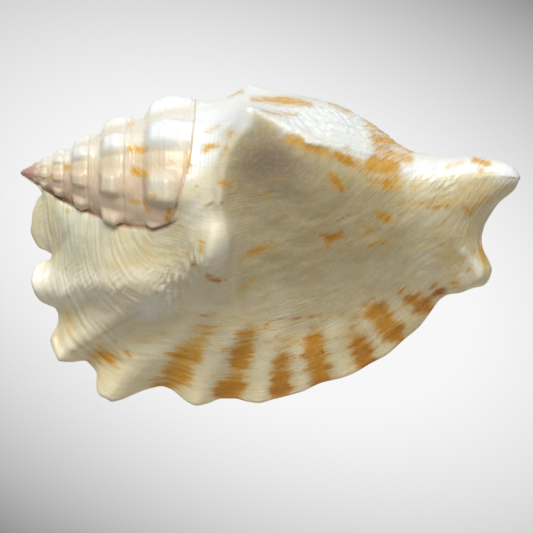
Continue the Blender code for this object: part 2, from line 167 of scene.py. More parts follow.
def coil_radius(x, angle):
    """Distance of the coil's surface from its axis, at x along it, angle degrees round from the back."""
    x, angle = np.broadcast_arrays(x, angle)
    smooth = through(RADIUS, x)[..., 0]
    around = as_in_tables(angle)
    last_suture = through(LAST_SUTURE, around)[..., 0]
    root_angle = through(ROOT_ANGLE, x)[..., 0]
    past_suture = ease(x, last_suture - STEP_HALF, last_suture + STEP_HALF)
    under_lip = ease(around, root_angle - ROOT_FADE, root_angle) * (1 - ease(around, *LIP_COVERS_TO))
    on_spire = 1 - np.maximum(past_suture, under_lip)

    part_of_turn = coil_turns(x, angle) % 1
    over_suture = 1 - ease(part_of_turn, 0, DIP_STARTS)
    front = ease(part_of_turn, DIP_ENDS, FRONT_ENDS)
    left = TOPS_LEFT + TOPS_LEFT_BEHIND * np.maximum(np.cos(np.radians(angle)), 0)
    tops = front * (1 - (1 - left) * ease(part_of_turn, TOPS_FALL, 1)) + left * over_suture
    knob = ease(0.5 + 0.5 * np.cos(np.radians((angle - SPIRE_KNOB_START) * SPIRE_KNOBS)), *KNOB_SLOPE)
    full_rise = smooth * (GIRDLE_RISE + SPIRE_KNOB_RISE * knob)
    spire = full_rise * tops * ease(x, *SPIRE_RELIEF_STARTS)
    edge_rise = full_rise * TOPS_LEFT * ease(root_angle - around, -ROOT_FADE, ROOT_FADE)

    body = -BELLY_FLAT[0] * smooth * bell(turn_between(BELLY_ANGLE, angle) / BELLY_FLAT[1])
    for x_knob, round_knob, height, to_spire, to_canal, width in SHOULDER_KNOBS:
        reach = np.where(x < x_knob, to_spire, to_canal)
        sideways = np.radians(turn_between(round_knob, angle)) * BODY_RADIUS
        body += height * peak(np.hypot((x - x_knob) / reach, sideways / width))
    x_shoulder, rise = np.moveaxis(through(SHOULDER, around), -1, 0)
    body += rise * peak((x - x_shoulder) / np.where(x < x_shoulder, *SHOULDER_REACH))
    crest = KEEL_ANGLE + KEEL_TURN * ease(x, *KEEL_TURNS)
    keel = KEEL[0] * peak(turn_between(crest, angle) / KEEL[1]) * (1 - ease(x, *KEEL_FADES))
    flank = FLANK[0] * bell(turn_between(FLANK_ANGLE, angle) / FLANK[1]) * (1 - ease(x, *FLANK_FADES))
    body += smooth * (keel - flank) * ease(x, *KEEL_STARTS)
    body += edge_rise * (1 - ease(x - last_suture, 0, EDGE_RISE_RUN)) + LAST_TURN_STEP
    return smooth + on_spire * spire + (1 - on_spire) * body


def coil_point(x, angle, inwards=0.0):
    """Point on the coil, or inwards of it, in a frame whose top leans with the axis."""
    lean, fall = math.radians(APEX_TILT), math.radians(AXIS_FALL)
    back = np.array([math.sin(fall), math.cos(fall), 0])
    top = np.array([-math.sin(lean), 0, math.cos(lean)])
    x, angle = np.broadcast_arrays(x, angle)
    radius = coil_radius(x, angle) - inwards
    turn = np.radians(angle)
    centre = np.concatenate([x[..., None], through(AXIS, x)], axis=-1)
    return centre + radius[..., None] * (np.cos(turn)[..., None] * back + np.sin(turn)[..., None] * top)


# The flared lip
# The wide wavy wing that an adult shell ends in, 2 to 3 mm thick and thinner at its rounded edge.
# It grows from the last turn's side, and a rib runs out across it to each lobe of the edge.
EDGE_THICKNESS = 1.8  # wall at the lip's edge
WALL_THICKNESS = 3.2  # wall where the lip leaves the body
THIN_AT_SPIRE, THIN_AT_TIP = 0.25, 0.3  # shares of its thickness that the lip has at its two ends
THICKNESS_LEAN = 0.8  # how far the way that it is measured leans upwards
# Where the lip's root leaves the coil: x, degrees round from the back
ROOT_ANGLE = [
    (0, 172), (8, 172), (12, 165), (18, 153), (25, 144), (31, 142), (36.6, 136), (42.3, 130),
    (50, 114), (60, 98), (75, 88), (140, 88),
]
# The lip's edge, from where it leaves the spire round to the canal: x of its section, x, y, z
LIP_EDGE = [
    (7.0, 7.0, -5.9, -5.5), (9.9, 4.5, -9.0, -6.5), (12.7, 3.1, -14.1, -8), (15.5, 4.8, -20.0, -10),
    (17.5, 8.2, -23.1, -11.5), (19.7, 8.7, -27.0, -12), (22.3, 3.7, -31.3, -12), (25.1, 7.3, -37.5, -14.5),
    (27.3, 10.1, -42.0, -16), (29.9, 8.5, -48.5, -16), (32.4, 11.8, -54.4, -17.5),
    (35.2, 19.2, -54.1, -19), (37.7, 20.8, -59.7, -18.5), (40.3, 24.8, -64.8, -18.5),
    (45.1, 38.0, -60.0, -21), (50.7, 49.0, -66.2, -20), (56.9, 58.6, -64.2, -21.3),
    (62.8, 67.6, -65.6, -20.3), (70.4, 76.1, -64.5, -21), (78.9, 85.9, -61.4, -20.5),
    (87.3, 97.2, -56.1, -19), (95.8, 107.9, -48.2, -16.5), (104.2, 115.5, -40.8, -12.5),
    (109.9, 119.4, -34.9, -9), (114.9, 124.8, -33.5, -6.5), (120.3, 130.7, -31.8, -4),
    (124.8, 132.7, -27.0, -1.5), (129.0, 130.4, -20.0, 1), (133.2, 132.1, -13.2, 3.5),
    (136.6, 135.2, -8.7, 6), (139.2, 139.2, -4.8, 8), (140.0, 139.9, -3.4, 9),
]
# The same edge seen from above, read off the photo at each turn of its waves: x, y
LIP_OUTLINE = [
    (7, -5.9), (5.1, -7.2), (4.2, -9.3), (3.4, -11.5), (3.1, -14.6), (2.8, -16.6), (3.7, -19.2),
    (5.1, -21.4), (7.3, -22.4), (9, -23.7), (9.2, -25.6), (7.6, -27), (5.4, -27.9), (3.9, -29.2),
    (3.4, -31.3), (3.9, -33.8), (5.4, -36.2), (7.6, -37.5), (9.6, -38.6), (10.4, -40.8), (10.1, -43.1),
    (9, -45.4), (8, -47.6), (8.5, -49.4), (9.6, -51.8), (10.7, -53.8), (14.1, -54.2), (17.7, -53.8),
    (19.6, -55.2), (21.1, -57.5), (21, -60.3), (21.3, -62.3), (22.3, -63.7), (23.9, -64.4), (25.6, -65.4),
    (28.2, -64.9), (32.4, -63.2), (36.6, -61.7), (39.7, -61.1), (42, -61.8), (44.2, -63.4), (46.8, -65.4),
    (49.6, -66.5), (53, -65.9), (56.9, -64.6), (60.3, -64.6), (63.7, -65.4), (67, -65.8), (71, -64.9),
    (75.5, -63.8), (80, -62.4), (85.1, -60.1), (90.1, -58.9), (94.6, -57.2), (98.6, -54.8), (103.7, -52),
    (108.2, -48), (112.7, -44.2), (116.1, -39.6), (118.6, -36.3), (121.1, -34.9), (123.9, -34.5),
    (127.3, -33.2), (130.7, -32.3), (132.4, -30.1), (133, -27.6), (132, -24.8), (130.6, -22),
    (130.1, -19.2), (130.7, -15.8), (132.4, -12.4), (134.6, -9),
]
# Which way the lip runs where it ends, seen from above: x of its section, degrees from the canal's way
LIP_HEADING = [
    (0, -172), (7, -172), (12, -160), (17, -150), (22, -144), (27, -136), (32, -124), (40, -112), (50, -98),
    (60, -90), (75, -75), (90, -52), (100, -40), (110, -35), (118, -28), (124, -12), (130, 2), (140, 2),
]
LIP_JOINS_BODY = (34, 58)  # x from where to where its root turns from the spire's side onto the body
LIP_LEVEL, LIP_DROP = 0.1, 0.45  # shares of its fall that it has where it starts and at its edge
LIP_HANDLES = (0.36, 0.34)  # parts of its length that run on as it starts and as it ends
ROOT_STEP = 1.5  # degrees to each side of the root over which the coil's own direction is taken
EDGE_STEPS = 8000  # along the edge, when each place of its outline is sought on it
SEARCH_STEPS, LEAST_STEPS = 700, 21  # how far on the next place may lie, at most and at least
OUTLINE_GAP = 0.5  # of x between the outline's last place and the edge's next one
# Ribs on the lip: height, half width, then x, y of each point from the edge inwards
LIP_RIBS = [
    (1.2, 9.0, [(3.7, -12.5), (11.3, -15.0), (19.7, -17.0)]),
    (3.3, 5.8, [(3.7, -32.2), (14.1, -33.2), (25.4, -32.6), (36.6, -30.0), (47.9, -23.5)]),
    (3.2, 4.4, [(10.1, -53.5), (18.3, -47.3), (28.2, -40.8), (36.6, -35.2), (42.3, -31.3), (49.3, -25.4)]),
    (3.0, 5.0, [(23.9, -64.2), (31.0, -58.0), (40.8, -50.1), (50.7, -40.3)]),
    (3.0, 5.4, [(49.3, -66.0), (54.1, -55.8), (60.6, -45.9), (67.6, -37.5)]),
    (2.6, 4.8, [(67.6, -65.4), (69.9, -55.8), (71.8, -47.3), (74.6, -38.9)]),
    (2.0, 4.0, [(79.7, -63.1), (79.7, -53.0), (80.3, -44.5)]),
    (1.7, 4.0, [(91.6, -58.6), (88.7, -50.1), (87.3, -41.7)]),
    (1.6, 4.0, [(102.3, -51.8), (99.2, -44.5), (95.8, -36.1)]),
    (1.0, 2.2, [(130.0, -28.5), (127.6, -24.6), (123.5, -21.6)]),
    (5.0, 3.8, [(53.5, -26.0), (54.3, -20.5), (56.5, -12.0)]),
]
RIB_FADES, RIB_FADE = 0.55, 0.8  # part of its run where a rib starts to sink, and the share that it sinks by
RIB_ROUND = 1.6
RIB_STRETCH = 1.3  # how much higher the ribs are before they are evened


def unit(vectors):
    return vectors / np.maximum(np.linalg.norm(vectors, axis=-1, keepdims=True), 1e-9)


def fine_edge():
    """The lip's edge with every wave of its outline: x of each place's nearest section, then its x, y, z."""
    sections = np.linspace(LIP_EDGE[0][0], SHELL_LENGTH, EDGE_STEPS)
    smooth_edge = through(LIP_EDGE, sections)
    places = []
    nearest = 0
    for x, y in LIP_OUTLINE:
        ahead = smooth_edge[nearest:nearest + SEARCH_STEPS]
        away = np.hypot(ahead[:, 0] - x, ahead[:, 1] - y)
        nearest += max(int(np.argmin(away)), LEAST_STEPS if places else 0)
        places.append((sections[nearest], x, y, smooth_edge[nearest, 2]))
    return places + [place for place in LIP_EDGE if place[0] > sections[nearest] + OUTLINE_GAP]


FINE_EDGE = fine_edge()


def lip_ray(x, share):
    """The lip's smooth outer face: from its root on the coil, share 0, to its edge, share 1."""
    root_angle = through(ROOT_ANGLE, x)[..., 0]
    root = coil_point(x, root_angle)
    edge = through(FINE_EDGE, x)
    on_body = ease(x, *LIP_JOINS_BODY)[..., None]
    along_coil = unit(coil_point(x, root_angle + ROOT_STEP) - coil_point(x, root_angle - ROOT_STEP))
    outwards = edge - root
    outwards[..., 2] *= LIP_LEVEL
    start = unit(along_coil * on_body + unit(outwards) * (1 - on_body))
    length = np.linalg.norm(edge - root, axis=-1, keepdims=True)
    heading = np.radians(through(LIP_HEADING, x)[..., 0])
    drop = LIP_DROP * (edge - root)[..., 2] / length[..., 0]
    end = unit(np.stack([np.cos(heading), np.sin(heading), drop], axis=-1))
    near = root + start * LIP_HANDLES[0] * length
    far = edge - end * LIP_HANDLES[1] * length
    t = share[..., None]
    return root * (1 - t) ** 3 + 3 * near * t * (1 - t) ** 2 + 3 * far * t * t * (1 - t) + edge * t**3


def near_line(places, line):
    """How far places seen from above lie from a line of x, y points, and how far along it, 0 to 1."""
    line = np.array(line, float)
    nearest = np.full(places.shape[:-1], 1e9)
    run_at = np.zeros(places.shape[:-1])
    for i in range(len(line) - 1):
        a, b = line[i], line[i + 1]
        t = np.clip(((places - a) @ (b - a)) / max((b - a) @ (b - a), 1e-6), 0, 1)
        away = np.linalg.norm(places - a - t[..., None] * (b - a), axis=-1)
        run_at = np.where(away < nearest, (i + t) / (len(line) - 1), run_at)
        nearest = np.minimum(nearest, away)
    return nearest, run_at


def rib_relief(points):
    """Height of the lip's ribs over points, seen from above."""
    height = np.zeros(points.shape[:-1])
    for rise, half_width, line in LIP_RIBS:
        away, run_at = near_line(points[..., :2], line)
        rib = np.exp(-((away / half_width) ** RIB_ROUND))
        height += RIB_STRETCH * rise * rib * (1 - RIB_FADE * ease(run_at, RIB_FADES, 1.0))
    return height


# The mouth
# The long opening under the shell, between the lip's underside and the smooth inner pillar of the coil.
# Its walls are the same shell as the rest, which grew round the hollow that the snail lived in.
# The hollow inside the last turn: x, its height, and how far round it is cut, in degrees
MOUTH = [
    (0, 0, 0), (51, 0, 0), (58, 4, 32), (68, 7, 85), (88, 8, 95), (100, 7, 70), (108, 5, 40),
    (116, 3.0, 16), (126, 2.2, 8), (135, 1.6, 4), (140, 0.6, 0),
]
MOUTH_LIP = 222.0  # degrees round where the mouth's inner wall meets the underside
MOUTH_SILL = 160.0  # degrees round where that wall starts to rise to it
HOLLOW_STARTS = (20, 34)  # x where the lip's root comes free of the coil below


def mouth_walls(x, root_angle, root_wall, wall_points, pillar_points):
    """Points from the lip's underside up the mouth's wall, over its roof and down the inner pillar."""
    mouth = through(MOUTH, x)
    mouth_height, mouth_turn = mouth[..., 0], mouth[..., 1]
    hollow = ease(x, *HOLLOW_STARTS)
    inner_root = root_angle + np.degrees(root_wall / through(RADIUS, x)[..., 0]) * (1 - hollow)
    deep = inner_root - mouth_turn
    v = np.linspace(0, 1, wall_points)[None]
    wall_angle = inner_root + (deep - inner_root) * v
    wall = coil_point(x, wall_angle, root_wall * hollow)
    v = np.linspace(0, 1, pillar_points)[None, :-1]
    pillar_angle = deep + (MOUTH_LIP - deep) * v
    cut = (root_wall * hollow + mouth_height) * (1 - ease(pillar_angle, MOUTH_SILL, MOUTH_LIP))
    pillar = coil_point(x, pillar_angle, cut)
    return np.concatenate([wall, pillar], axis=1)


# The shell's skin as sections
# Closed loops from the apex to the canal, fine enough to carry the grooves, cords and worn places.
# Each loop runs round the back, over the top, out along the lip, back under it and through the mouth.
MM = 0.001  # metres
SECTIONS = 338
# How many sections a stretch gets: everywhere, for a long edge of lip, on the spire and at the canal's tip
EVEN_SHARE, EDGE_SHARE, SPIRE_SHARE, TIP_SHARE = 0.8, 0.35, 0.5, 1.2
SPIRE_SHARE_ENDS = (50, 75)  # x
TIP_SHARE_REACH, MOST_TRAVEL = 6, 4  # of the canal's tip along x, and of the edge for each millimetre of x
FINE_STEPS = 1400  # along the shell, when its sections are placed
BELLY_POINTS = 26
TOP_POINTS = 104
LIP_POINTS = 92
UNDER_POINTS = 34
WALL_POINTS = 10
PILLAR_POINTS = 22
BELLY_END = -35.0  # degrees round where the loop's points come closer together
REST_TURN = (0.9, 0.0)  # degrees about x and y that lay the shell on its belly and lip
REST_PLACE = (70.326, -20.779, -22.355)  # the place that is then set on the floor's middle
EDGE_ROUND = (1.0, 0.72, 0.45, 0.2, 0.05, 0.0)  # millimetres from the lip's edge where it is rounded off
MOST_ROUND = 0.4  # share of the lip's width that they take at most
NARROWEST_LIP = 4  # that distances from the edge are reckoned for
X_STEP, SHARE_STEP = 0.05, 0.01  # over which the lip's slopes are measured
LIP_THICKENS, LIP_THINS = (7, 24), (130, 140)  # x at the spire, and at the canal's tip
RIBS_START = 0.12  # share of the way from root to edge
RIBS_UPRIGHT = (0.2, 0.5), (24, 30)  # share of that way, and x, where ribs rise straight up from the lip
RIB_HOLLOW, RIB_HOLLOW_STARTS = 0.2, (0, 4)  # share of a rib that is hollow below, millimetres from the edge
ROOT_WALL_SHARE, ROOT_WALL_GROWS = 0.6, (10, 30)  # of the wall at the root on the spire, and x
FACE_ROUNDS, RIB_ROUNDS = 200, 10  # how often the lip's face is evened without its ribs, then with them
HELD_AT_ROOT, HELD_AT_EDGE = (0.02, 0.12), (0.8, 5)  # share of the way, and millimetres, that it is held by
TIP_RISE = 0.8  # how far the canal's very tip stands out from its last section


def evened(points, hold, rounds):
    """Points drawn towards their neighbours along and across the sections, not at all where hold is 1."""
    for _ in range(rounds):
        even = points.copy()
        even[1:-1] = (points[:-2] + 2 * points[1:-1] + points[2:]) / 4
        even[:, 1:-1] = (even[:, :-2] + 2 * even[:, 1:-1] + even[:, 2:]) / 4
        points = points + (even - points) * (1 - hold)[..., None]
    return points


def section_places():
    """x of each section: closest together on the spire and where the lip's edge is long."""
    fine = np.linspace(0.0, SHELL_LENGTH, FINE_STEPS + 1)
    edge = through(FINE_EDGE, fine)
    travel = np.linalg.norm(np.gradient(edge, fine, axis=0), axis=1)
    at_tip = bell((fine - SHELL_LENGTH) / TIP_SHARE_REACH)
    weight = EVEN_SHARE + EDGE_SHARE * np.clip(travel, 0, MOST_TRAVEL) + TIP_SHARE * at_tip
    weight += SPIRE_SHARE * (1 - ease(fine, *SPIRE_SHARE_ENDS))
    total = np.concatenate([[0], np.cumsum((weight[1:] + weight[:-1]) / 2)])
    return np.interp(np.linspace(0, 1, SECTIONS), total / total[-1], fine)


x = section_places()[:, None]
root_angle = through(ROOT_ANGLE, x)[..., 0]
has_lip = x > FINE_EDGE[0][0]
lip_there = has_lip * (THIN_AT_SPIRE + (1 - THIN_AT_SPIRE) * ease(x, *LIP_THICKENS))
lip_there = lip_there * (1 - (1 - THIN_AT_TIP) * ease(x, *LIP_THINS))

belly = MOUTH_LIP - 360 + (BELLY_END - MOUTH_LIP + 360) * np.linspace(0, 1, BELLY_POINTS)[None] + 0 * x
over = BELLY_END + (root_angle - BELLY_END) * np.linspace(0, 1, TOP_POINTS + 1)[None, 1:]
core_angle = np.concatenate([belly, over], axis=1)
core = coil_point(x, core_angle)

edge_gap = np.linalg.norm(through(FINE_EDGE, x)[:, 0] - coil_point(x, root_angle)[:, 0], axis=-1)[:, None]
rounded = 1 - np.minimum(np.array(EDGE_ROUND) / np.maximum(edge_gap, NARROWEST_LIP), MOST_ROUND)
spread = np.linspace(0, 1, LIP_POINTS - len(EDGE_ROUND) + 1)[1:]
share = np.concatenate([spread * (rounded[:, :1] - SHARE_STEP), rounded], axis=1)
along = x + 0 * share
ray = np.where(has_lip[..., None], lip_ray(along, share), core[:, -1:])
slope_x = lip_ray(along + X_STEP, share) - lip_ray(along - X_STEP, share)
slope_s = lip_ray(along, np.minimum(share + SHARE_STEP, 1)) - lip_ray(along, share - SHARE_STEP)
normal = unit(unit(np.cross(slope_s, slope_x)) + (0, 0, THICKNESS_LEAN))
ribs = rib_relief(ray) * ease(share, 0.0, RIBS_START) * lip_there
straight_up = (ease(share, *RIBS_UPRIGHT[0]) * ease(x, *RIBS_UPRIGHT[1]))[..., None]
rib = ribs[..., None] * unit(normal * (1 - straight_up) + np.array([0, 0, 1]) * straight_up)
thickness = (WALL_THICKNESS + (EDGE_THICKNESS - WALL_THICKNESS) * share) * lip_there
from_edge = (1 - share) * np.maximum(edge_gap, NARROWEST_LIP)
half = EDGE_THICKNESS / 2
rounding = lip_there * half * (1 - np.sqrt(1 - np.clip(1 - from_edge / half, 0, 1) ** 2))
held = np.maximum(1 - ease(share, *HELD_AT_ROOT), 1 - ease(from_edge, *HELD_AT_EDGE))
lip_face = evened(evened(ray, held, FACE_ROUNDS) + rib, held, RIB_ROUNDS)
outer = lip_face - normal * rounding[..., None]
hollowed = RIB_HOLLOW * ease(from_edge, *RIB_HOLLOW_STARTS)[..., None] * rib
under = lip_face - hollowed - normal * (thickness - rounding)[..., None]
keep = np.linspace(0, LIP_POINTS - 1 - len(EDGE_ROUND), UNDER_POINTS - len(EDGE_ROUND)).round().astype(int)
keep = np.concatenate([keep, np.arange(LIP_POINTS - len(EDGE_ROUND), LIP_POINTS)])[::-1]
root_wall = ROOT_WALL_SHARE + (1 - ROOT_WALL_SHARE) * ease(x, *ROOT_WALL_GROWS)
root_wall = WALL_THICKNESS * lip_there * root_wall
inside = mouth_walls(x, root_angle, root_wall, WALL_POINTS, PILLAR_POINTS)

skin = np.concatenate([core, outer, under[:, keep], inside], axis=1)
skin[0] = skin[0].mean(axis=0)
skin[-1] = skin[-1].mean(axis=0) + (TIP_RISE, 0, 0)
core_count = BELLY_POINTS + TOP_POINTS
outside_count = core_count + LIP_POINTS
point_count = skin.shape[1]


# The surface relief
# Fine cords that run round the coil, growth lines parallel to the lip's edge, grooves where one turn meets
# the next, and places that are worn, crackled or wrinkled. They are raised or cut by tenths of a millimetre.
CORD_PITCH = 1.15  # between cords on the last turn and the lip
CORDS_A_TURN = 15  # on the spire
CORD_HEIGHT, RAMP_CORD_HEIGHT = 0.035, 0.07  # on the spire, and on the slope up to the last shoulder
CORDS_START = (10, 20)  # x
SPIRE_GROWTH = 0.22  # millimetres of growth that a degree round the spire stands for
EDGE_DISTANCE_ROUNDS = 300  # how often the distance from the lip's edge is evened along the shell
TURN_LENGTH = 0.42  # of a turn of the spire along it, as a share of x
SUTURE_DEPTH, SUTURE_HALF, SUTURES_START = 0.40, 0.3, (3, 8)  # half width, x
SEAM_DEPTH, SEAM_HALF, SEAM_ENDS = 0.35, 0.5, (44, 47)  # where the lip grew over the spire: half width, x
# The last turn's front edge and the groove before it: height or depth, place past the suture, half width
TURN_EDGE_HEIGHT, TURN_EDGE_PLACE, TURN_EDGE_HALF = 0.40, 0.35, 0.35
TURN_GROOVE_DEPTH, TURN_GROOVE_PLACE, TURN_GROOVE_HALF = 0.30, -0.45, 0.4
# The slope up to the last shoulder: millimetres past the suture, x, degrees from the lip's root
RAMP_STARTS, RAMP_ENDS, RAMP_FADES = (0.0, 0.6), (56, 62), (0, 40)
LARGE_LUMPS, SMALL_LUMPS = (9.0, 0.0), (3.0, 5.0)  # size, seed
LARGE_LUMP_HEIGHT, SMALL_LUMP_HEIGHT = 0.35, 0.10
GRAIN_SCALE = (0.25, 0.75)  # lumps of the grain to a cord and to a millimetre of growth
GROWTH_HEIGHT, LIP_GROWTH_HEIGHT, FIRST_LOBES_GROWTH_HEIGHT = 0.03, 0.07, 0.20  # each on top of the last
FIRST_LOBES_END = (30, 50)  # x
EDGE_SMOOTH = (0.3, 2.5)  # millimetres from the lip's edge where the relief starts
RELIEF_STARTS, RELIEF_ENDS = (1, 6), (138, 140)  # x
RELIEF_BELOW = (MOUTH_LIP - 360, -120)  # degrees round where it starts on the belly


def rough(points, size, seed=0.0):
    """Soft random heights about 0 over the points, in lumps of the given size."""
    places = (np.asarray(points) / size).reshape(-1, 3) + seed
    return np.array([noise.noise(place) for place in places.tolist()]).reshape(points.shape[:-1])


def smoothed_along(values, rounds):
    """The values with each averaged with its neighbours along the shell, over and over."""
    for _ in range(rounds):
        middle = (values[:-2] + 2 * values[1:-1] + values[2:]) / 4
        values = np.concatenate([values[:1], middle, values[-1:]])
    return values


outside = skin[:, :outside_count]
lip_line = np.concatenate([core[:, -1:], ray], axis=1)
steps = np.linalg.norm(np.diff(lip_line, axis=1), axis=-1)
to_edge = np.concatenate([np.cumsum(steps[:, ::-1], axis=1)[:, ::-1], 0 * x], axis=1)
to_edge = smoothed_along(to_edge, EDGE_DISTANCE_ROUNDS)
round_core = np.radians(root_angle - core_angle) * through(RADIUS, x)[..., 0]
growth = np.concatenate([to_edge[:, :1] + round_core, to_edge[:, 1:]], axis=1)
x_all = x + 0 * growth
angle_all = np.concatenate([core_angle, root_angle + 0 * share], axis=1)
around = as_in_tables(angle_all)
last_suture = through(LAST_SUTURE, around)[..., 0]
on_lip = np.zeros_like(growth)
on_lip[:, core_count:] = 1
on_lip[:, :core_count] = ease(around[:, :core_count], root_angle - ROOT_FADE, root_angle)
beyond = x_all - last_suture
on_spire = (beyond < 0) * (on_lip < 0.5)
root_growth = growth[:, core_count - 1:core_count]
growth = np.where(on_spire, root_growth + (root_angle - around) * SPIRE_GROWTH, growth)
turns = coil_turns(x_all, angle_all)
part_of_turn = turns % 1
cords = np.where(on_spire, turns * CORDS_A_TURN, x_all / CORD_PITCH)

from_above = outside[..., :2]
x_seen, y_seen = from_above[..., 0], from_above[..., 1]
suture_gap = np.minimum(part_of_turn, 1 - part_of_turn) * np.maximum(x_all, 3) * TURN_LENGTH
suture = on_spire * bell(suture_gap / SUTURE_HALF) * ease(x_all, *SUTURES_START)
over_spire = (1 - ease(x_all, *SEAM_ENDS)) * has_lip
lip_seam = bell((growth - root_growth) / SEAM_HALF) * over_spire
turn_edge = (1 - on_lip) * bell((beyond - TURN_EDGE_PLACE) / TURN_EDGE_HALF)
turn_groove = (1 - on_lip) * bell((beyond - TURN_GROOVE_PLACE) / TURN_GROOVE_HALF)
ramp = ease(beyond, *RAMP_STARTS) * (1 - ease(x_all, *RAMP_ENDS)) * ease(root_angle - around, *RAMP_FADES)

cord_wave = np.cos(2 * math.pi * cords)
relief = CORD_HEIGHT * cord_wave * on_spire * ease(x_all, *CORDS_START)
relief += RAMP_CORD_HEIGHT * cord_wave * ramp
relief += TURN_EDGE_HEIGHT * turn_edge - TURN_GROOVE_DEPTH * turn_groove
relief -= SUTURE_DEPTH * suture + SEAM_DEPTH * lip_seam
relief += LARGE_LUMP_HEIGHT * rough(outside, *LARGE_LUMPS) + SMALL_LUMP_HEIGHT * rough(outside, *SMALL_LUMPS)
grain_places = np.stack([cords * GRAIN_SCALE[0], growth * GRAIN_SCALE[1], 0 * growth], axis=-1)
first_lobes = on_lip * (1 - ease(x_all, *FIRST_LOBES_END))
growth_height = GROWTH_HEIGHT + LIP_GROWTH_HEIGHT * on_lip + FIRST_LOBES_GROWTH_HEIGHT * first_lobes
relief += growth_height * rough(grain_places, 1.0, 11.0)

# Worn, crackled and wrinkled places: x, y of the points of a line, then its reach
WORN_RIB = ([(48.5, -25.0), (44.0, -31.0), (40.5, -37.0)], 4.6)
STRIATED_RIB = ([(3.5, -29.3), (18.0, -29.6), (30.0, -30.5), (40.0, -28.0)], 4.2)
CRACKLED_TOP = ([(76.0, 13.5), (88.0, 16.5), (104.0, 10.5)], 4.2)
WRINKLED_CANAL = ([(112.0, 0.5), (119.0, -4.0)], 5.0)
WORN_HEIGHT, STRIATED_HEIGHT, WRINKLED_HEIGHT = 0.55, 0.20, 0.35
CRACKLE_HEIGHT, CRACKLE_LUMP_HEIGHT = 0.0875, 0.455
STRIATION, CRACKLE = (52, 1.4), (-50, 1.2)  # degrees that their ridges run at, and the pitch
# Pale ridges on the last turn's top: their line, half width and height
PALE_RIDGES = [
    ([(80.5, 8.6), (90.0, 7.0), (99.0, 5.0)], 0.8, 0.75),
    ([(84.0, 11.0), (94.0, 9.5), (103.0, 7.0)], 0.8, 0.75),
    ([(82.0, 13.4), (92.0, 12.2), (100.0, 10.0)], 0.7, 0.6),
]
# The crest of the last shoulder, from the lower large knob up to the one at the back, as y, x
SHOULDER_CREST = [
    (-27.0, 60.5), (-24.2, 59.7), (-17.7, 58.6), (-12.1, 57.5),
    (-5.1, 56.9), (2.0, 57.5), (9.0, 61.4), (15.2, 65.6),
]
CREST_STARTS, CREST_ENDS, CREST_RISES = (-26, -20), (10, 15), (-20, -10)  # y
CREST_HEIGHT, CREST_PLACE, CREST_HALF = 0.55, -0.6, 1.5
CORNER_LIFT = 1.5  # of the lip's corner beside the canal
LIFTED_CORNER = (130.5, -31.0, 5.5, 5.5)  # x, y, and its reach along x and y


def patch(x_middle, y_middle, x_reach, y_reach):
    """1 at a place seen from above, falling to 0 round about it."""
    return bell(np.hypot((x_seen - x_middle) / x_reach, (y_seen - y_middle) / y_reach))


def along_line(line, reach):
    """1 on a line seen from above, falling to 0 on both sides."""
    return bell(near_line(from_above, line)[0] / reach)


def slanted(degrees, pitch):
    """Ridges seen from above, running at the given angle, with wandering spacing."""
    turn = math.radians(degrees)
    across = y_seen * math.cos(turn) - x_seen * math.sin(turn)
    flat = np.stack([x_seen, y_seen, 0 * x_seen], axis=-1)
    return np.cos(2 * math.pi * (across / pitch + 0.9 * rough(flat, 4.0, 3.0)))


worn = along_line(*WORN_RIB) * ease(rough(outside * (1.1, 0.2, 0.2), 0.8, 4.0), -0.25, 0.3)
striated = along_line(*STRIATED_RIB) * on_lip
crackled = along_line(*CRACKLED_TOP)
wrinkled = along_line(*WRINKLED_CANAL) * ease(rough(grain_places * (2.0, 1.2, 1.0), 1.0, 8.0), -0.2, 0.4)
relief += WORN_HEIGHT * worn + WRINKLED_HEIGHT * wrinkled
relief += STRIATED_HEIGHT * striated * slanted(*STRIATION)
relief += crackled * (CRACKLE_HEIGHT * slanted(*CRACKLE) + CRACKLE_LUMP_HEIGHT * rough(outside, 1.0, 7.0))
for line, half_width, height in PALE_RIDGES:
    relief += height * along_line(line, half_width)

past_crest = x_seen - through(SHOULDER_CREST, y_seen)[..., 0]
crest_run = ease(y_seen, *CREST_STARTS) * (1 - ease(y_seen, *CREST_ENDS)) * (outside[..., 2] > 0)
crest_ridge = bell((past_crest - CREST_PLACE) / CREST_HALF) * ease(y_seen, *CREST_RISES)
relief += CREST_HEIGHT * crest_run * crest_ridge
relief += CORNER_LIFT * patch(*LIFTED_CORNER) * on_lip

at_edge = np.ones_like(growth)
at_edge[:, core_count:] = ease(from_edge, *EDGE_SMOOTH)
across_loop = np.gradient(outside, axis=1)
along_shell = np.gradient(outside, axis=0)
out_way = unit(np.cross(across_loop, along_shell))
top_point = BELLY_POINTS + TOP_POINTS // 2
out_way *= np.sign(out_way[SECTIONS // 2, top_point, 2])
relief *= at_edge * ease(x_all, *RELIEF_STARTS) * (1 - ease(x_all, *RELIEF_ENDS))
relief *= ease(angle_all, *RELIEF_BELOW)
